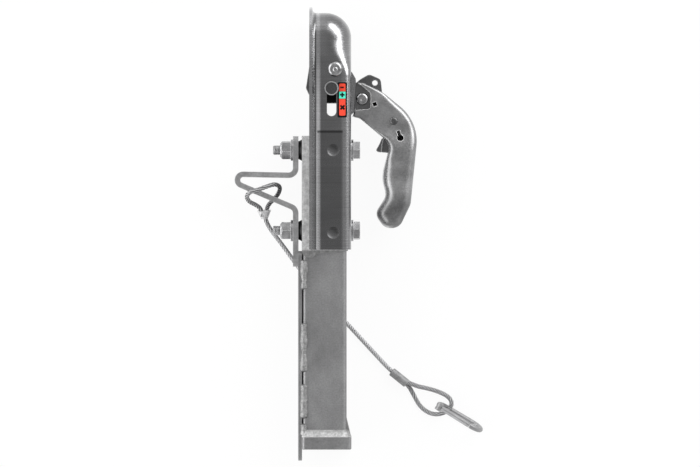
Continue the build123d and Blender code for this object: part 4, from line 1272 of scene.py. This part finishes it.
def make_handle():
    """The pressed handle: its skin, thickened inwards to a sheet with broken edges."""
    sheet = link_mesh("handle_sheet", handle_skin(), "handle_steel", angle=38.0)
    thick = sheet.modifiers.new("sheet", "SOLIDIFY")
    thick.thickness, thick.offset = SHEET * MM, -1.0
    round_off = sheet.modifiers.new("edges", "BEVEL")
    round_off.width, round_off.segments, round_off.limit_method = 0.45 * MM, 2, "ANGLE"
    round_off.angle_limit = math.radians(50)
    made = bpy.data.meshes.new_from_object(sheet.evaluated_get(bpy.context.evaluated_depsgraph_get()))
    bpy.data.objects.remove(sheet)
    piece = link_mesh("pressed_handle", made, "handle_steel", angle=38.0)
    finish_piece(piece, "handle", ["handle_shell"])


# Fasteners and welds


def hex_block(built, to_place, across, low, high, crown_low=False):
    """A hexagon with the corners of one end turned off: a fine turned form, cut with six flats."""
    flat = across / 2 / MM
    corner = flat / math.cos(math.pi / 6)
    shares = (0.0, 0.2, 0.4, 0.6, 0.8, 1.0)
    levels = [(share, corner - (corner - flat + 0.5) * (1 - share) ** 1.8) for share in shares]
    if crown_low:
        drop = (corner - flat) * 1.5
        rows = [(low + drop * share, limit) for share, limit in levels] + [(high, corner)]
    else:
        drop = (corner - flat) * 0.7
        rows = [(low, corner)] + [(high - drop * share, limit) for share, limit in reversed(levels)]
    steps = 72
    angles = [2 * math.pi * step / steps for step in range(steps)]
    hexagon = [flat / math.cos((angle + math.pi / 6) % (math.pi / 3) - math.pi / 6) for angle in angles]
    rings = []
    for height, limit in rows:
        rings.append(ring(built, to_place, [min(radius, limit) for radius in hexagon], height))
    skin(built, rings, steps)
    built.faces.new(rings[0][::-1])
    built.faces.new(rings[-1])


def bolt_place(y, turn):
    """Turns a form about Z into one about X, at a bolt."""
    along_x = Matrix.Rotation(math.radians(90), 4, "Y")
    return at(0, y) @ along_x @ Matrix.Rotation(math.radians(turn), 4, "Z")


def make_fasteners(fastener):
    """The two bolts with cut threads and their lock nuts."""
    seat, end, head_height, thread_length = BOLT_SEAT, BOLT_END, 7.5, 27.0
    shank, root, thread_end = 6.0, 5.25, -30.0
    washer = [(0, seat - 0.2), (8.6, seat), (8.6, seat + 0.4), (0, seat + 0.4)]
    rod = [(0, end), (4.4, end), (root, end + 0.9), (root, thread_end)]
    rod += [(shank, thread_end + 1.0), (shank, seat + 0.2), (0, seat + 0.2)]
    built = bmesh.new()
    for y, turn in zip(BOLT_Y, (30, 23)):
        place = bolt_place(y, turn)
        hex_block(built, place, fastener.across_flats, seat + 0.3, seat + head_height)
        lathe(built, washer, place, 48)
        lathe(built, rod, place, 48)
    bolts = from_bmesh("hex_bolts", built, "fastener_steel", angle=28.0)
    finish_piece(bolts, "coupler", ["coupler_bolts"])
    threads = wound(
        "bolt_threads", [(end + 0.9, y, 0) for y in BOLT_Y], (1.0, 0.0, 0.0),
        thread_length / (fastener.pitch / MM), 5.0, 0.4, thread_length, 4, "fastener_steel", 30.0,
    )
    finish_piece(threads, "coupler")

    low = NUT_LOW
    collar = [(5.3, low + 0.5), (6.0, low), (7.2, low + 0.05), (8.0, low + 0.5), (8.5, low + 1.6)]
    collar += [(5.3, low + 1.6), (5.3, low + 0.5)]
    built = bmesh.new()
    for y, turn in zip(BOLT_Y, (38, 30)):
        place = bolt_place(y, turn)
        hex_block(built, place, fastener.across_flats, low + 1.3, NUT_HIGH, crown_low=True)
        lathe(built, collar, place, 48)
    nuts = from_bmesh("lock_nut_pair", built, "fastener_steel", angle=28.0)
    finish_piece(nuts, "coupler", ["lock_nuts"])


def make_welds(weld):
    """Rippled beads: eight stitches in the grooves between the tube and the bar."""
    x, end_gap = TUBE_LOW_X + 2.5, 2.4
    points, edges = [], []
    for front, rear in WELD_RUNS:
        for z in (TUBE_HALF - 2.0, 2.0 - TUBE_HALF):
            edges.append((len(points), len(points) + 1))
            points += [(x, front - end_gap, z), (x, rear + end_gap, z)]
    values = {
        "Ripple": weld.ripple, "Radius": weld.radius, "Unevenness": 0.2 * MM, "Seed": weld.seed,
        "Flatness": (1.0, 0.62, 1.0), "Voxel": 0.45 * MM,
    }
    beads = grown("stitch_welds", "Weld bead", points, edges, values, "weld_metal", 180.0)
    finish_piece(beads, "coupler", ["plate_welds"])


def dress_nodes():
    """Gives each solid that stays in view its own finish."""
    slots = {row["node"]: row["material_slot"] for row in frame["record"]["subparts"]}
    own = {"ferrule_aluminium": "ferrule_metal", "cable_steel": "rope_wire"}
    # The drive arm and the wedge take the near-black steel that stands for painted shade
    single = dict.fromkeys(("handle_drive_arm", "locking_wedge"), "inner_steel")
    # The bracket's ferrule takes the lighter copy, as painted light
    single["bracket_ferrule"] = "lit_ferrule"
    for name, node in frame["nodes"].items():
        slot = single.get(name, slots[name])
        node.data.materials.clear()
        node.data.materials.append(MATERIALS[own.get(slot, slot)])


# Operators


def settings():
    return bpy.context.scene.coupler


class COUPLER_OT_stage(bpy.types.Operator):
    """Make the floor, the surround, the lights and the camera"""

    bl_idname = "coupler.stage"
    bl_label = "Stage"

    def execute(self, context):
        make_stage(settings().stage)
        return {"FINISHED"}


class COUPLER_OT_shares(bpy.types.Operator):
    """Give the strong box light to the head, and the weak one to the handle and rivets"""

    bl_idname = "coupler.shares"
    bl_label = "Light shares"

    def execute(self, context):
        share_lights()
        return {"FINISHED"}


class COUPLER_OT_finishes(bpy.types.Operator):
    """Make the finishes and give them to the solids"""

    bl_idname = "coupler.finishes"
    bl_label = "Finishes"

    def execute(self, context):
        make_materials(settings().finish)
        TREES["Wound coil"] = coil_tree()
        TREES["Weld bead"] = bead_tree()
        dress_nodes()
        return {"FINISHED"}


class COUPLER_OT_cable(bpy.types.Operator):
    """Make the steel rope of the safety cable"""

    bl_idname = "coupler.cable"
    bl_label = "Cable"

    def execute(self, context):
        make_cable(settings().cable)
        return {"FINISHED"}


class COUPLER_OT_springs(bpy.types.Operator):
    """Make the main spring and the trigger's spring"""

    bl_idname = "coupler.springs"
    bl_label = "Springs"

    def execute(self, context):
        make_springs(settings().spring)
        return {"FINISHED"}


class COUPLER_OT_rivets(bpy.types.Operator):
    """Make the rivets and the wear button"""

    bl_idname = "coupler.rivets"
    bl_label = "Rivets and button"

    def execute(self, context):
        make_rivets()
        make_button()
        return {"FINISHED"}


class COUPLER_OT_handle(bpy.types.Operator):
    """Make the pressed handle from its folded sheet"""

    bl_idname = "coupler.handle"
    bl_label = "Handle"

    def execute(self, context):
        make_handle()
        return {"FINISHED"}


class COUPLER_OT_fasteners(bpy.types.Operator):
    """Make the bolts with their threads and nuts"""

    bl_idname = "coupler.fasteners"
    bl_label = "Fasteners"

    def execute(self, context):
        make_fasteners(settings().fastener)
        return {"FINISHED"}


class COUPLER_OT_welds(bpy.types.Operator):
    """Make the weld beads"""

    bl_idname = "coupler.welds"
    bl_label = "Welds"

    def execute(self, context):
        make_welds(settings().weld)
        return {"FINISHED"}


def group_setting(name, description, kind):
    return PointerProperty(name=name, description=description, type=kind)


class CouplerSettings(bpy.types.PropertyGroup):
    cable: group_setting("Cable", "Sizes of the safety cable", CableSettings)
    spring: group_setting("Spring", "Sizes of the main spring", SpringSettings)
    fastener: group_setting("Fasteners", "Sizes of the bolts and nuts", FastenerSettings)
    weld: group_setting("Welds", "Sizes of the weld beads", WeldSettings)
    finish: group_setting("Finishes", "Colours of the finishes", FinishSettings)
    stage: group_setting("Stage", "Camera and lights", StageSettings)


STEPS = ("stage", "finishes", "cable", "springs", "rivets", "handle", "fasteners", "welds", "shares")


class COUPLER_PT_panel(bpy.types.Panel):
    bl_label = "Ball coupler"
    bl_idname = "COUPLER_PT_panel"
    bl_space_type = "VIEW_3D"
    bl_region_type = "UI"
    bl_category = "Coupler"

    def draw(self, context):
        for step in STEPS:
            self.layout.operator("coupler." + step)
        for group in ("cable", "spring", "fastener", "weld", "finish", "stage"):
            values = getattr(context.scene.coupler, group)
            box = self.layout.box()
            for name in values.__annotations__:
                box.prop(values, name)


CLASSES = (
    CableSettings, SpringSettings, FastenerSettings, WeldSettings, FinishSettings, StageSettings,
    CouplerSettings,
    COUPLER_OT_stage, COUPLER_OT_finishes, COUPLER_OT_cable, COUPLER_OT_springs, COUPLER_OT_rivets,
    COUPLER_OT_handle, COUPLER_OT_fasteners, COUPLER_OT_welds, COUPLER_OT_shares, COUPLER_PT_panel,
)


def register():
    for made in CLASSES:
        bpy.utils.register_class(made)
    bpy.types.Scene.coupler = PointerProperty(type=CouplerSettings)


def unregister():
    del bpy.types.Scene.coupler
    for made in reversed(CLASSES):
        bpy.utils.unregister_class(made)


def main():
    register()
    for step in STEPS:
        getattr(bpy.ops.coupler, step)()


if __name__ == "__main__":
    main()
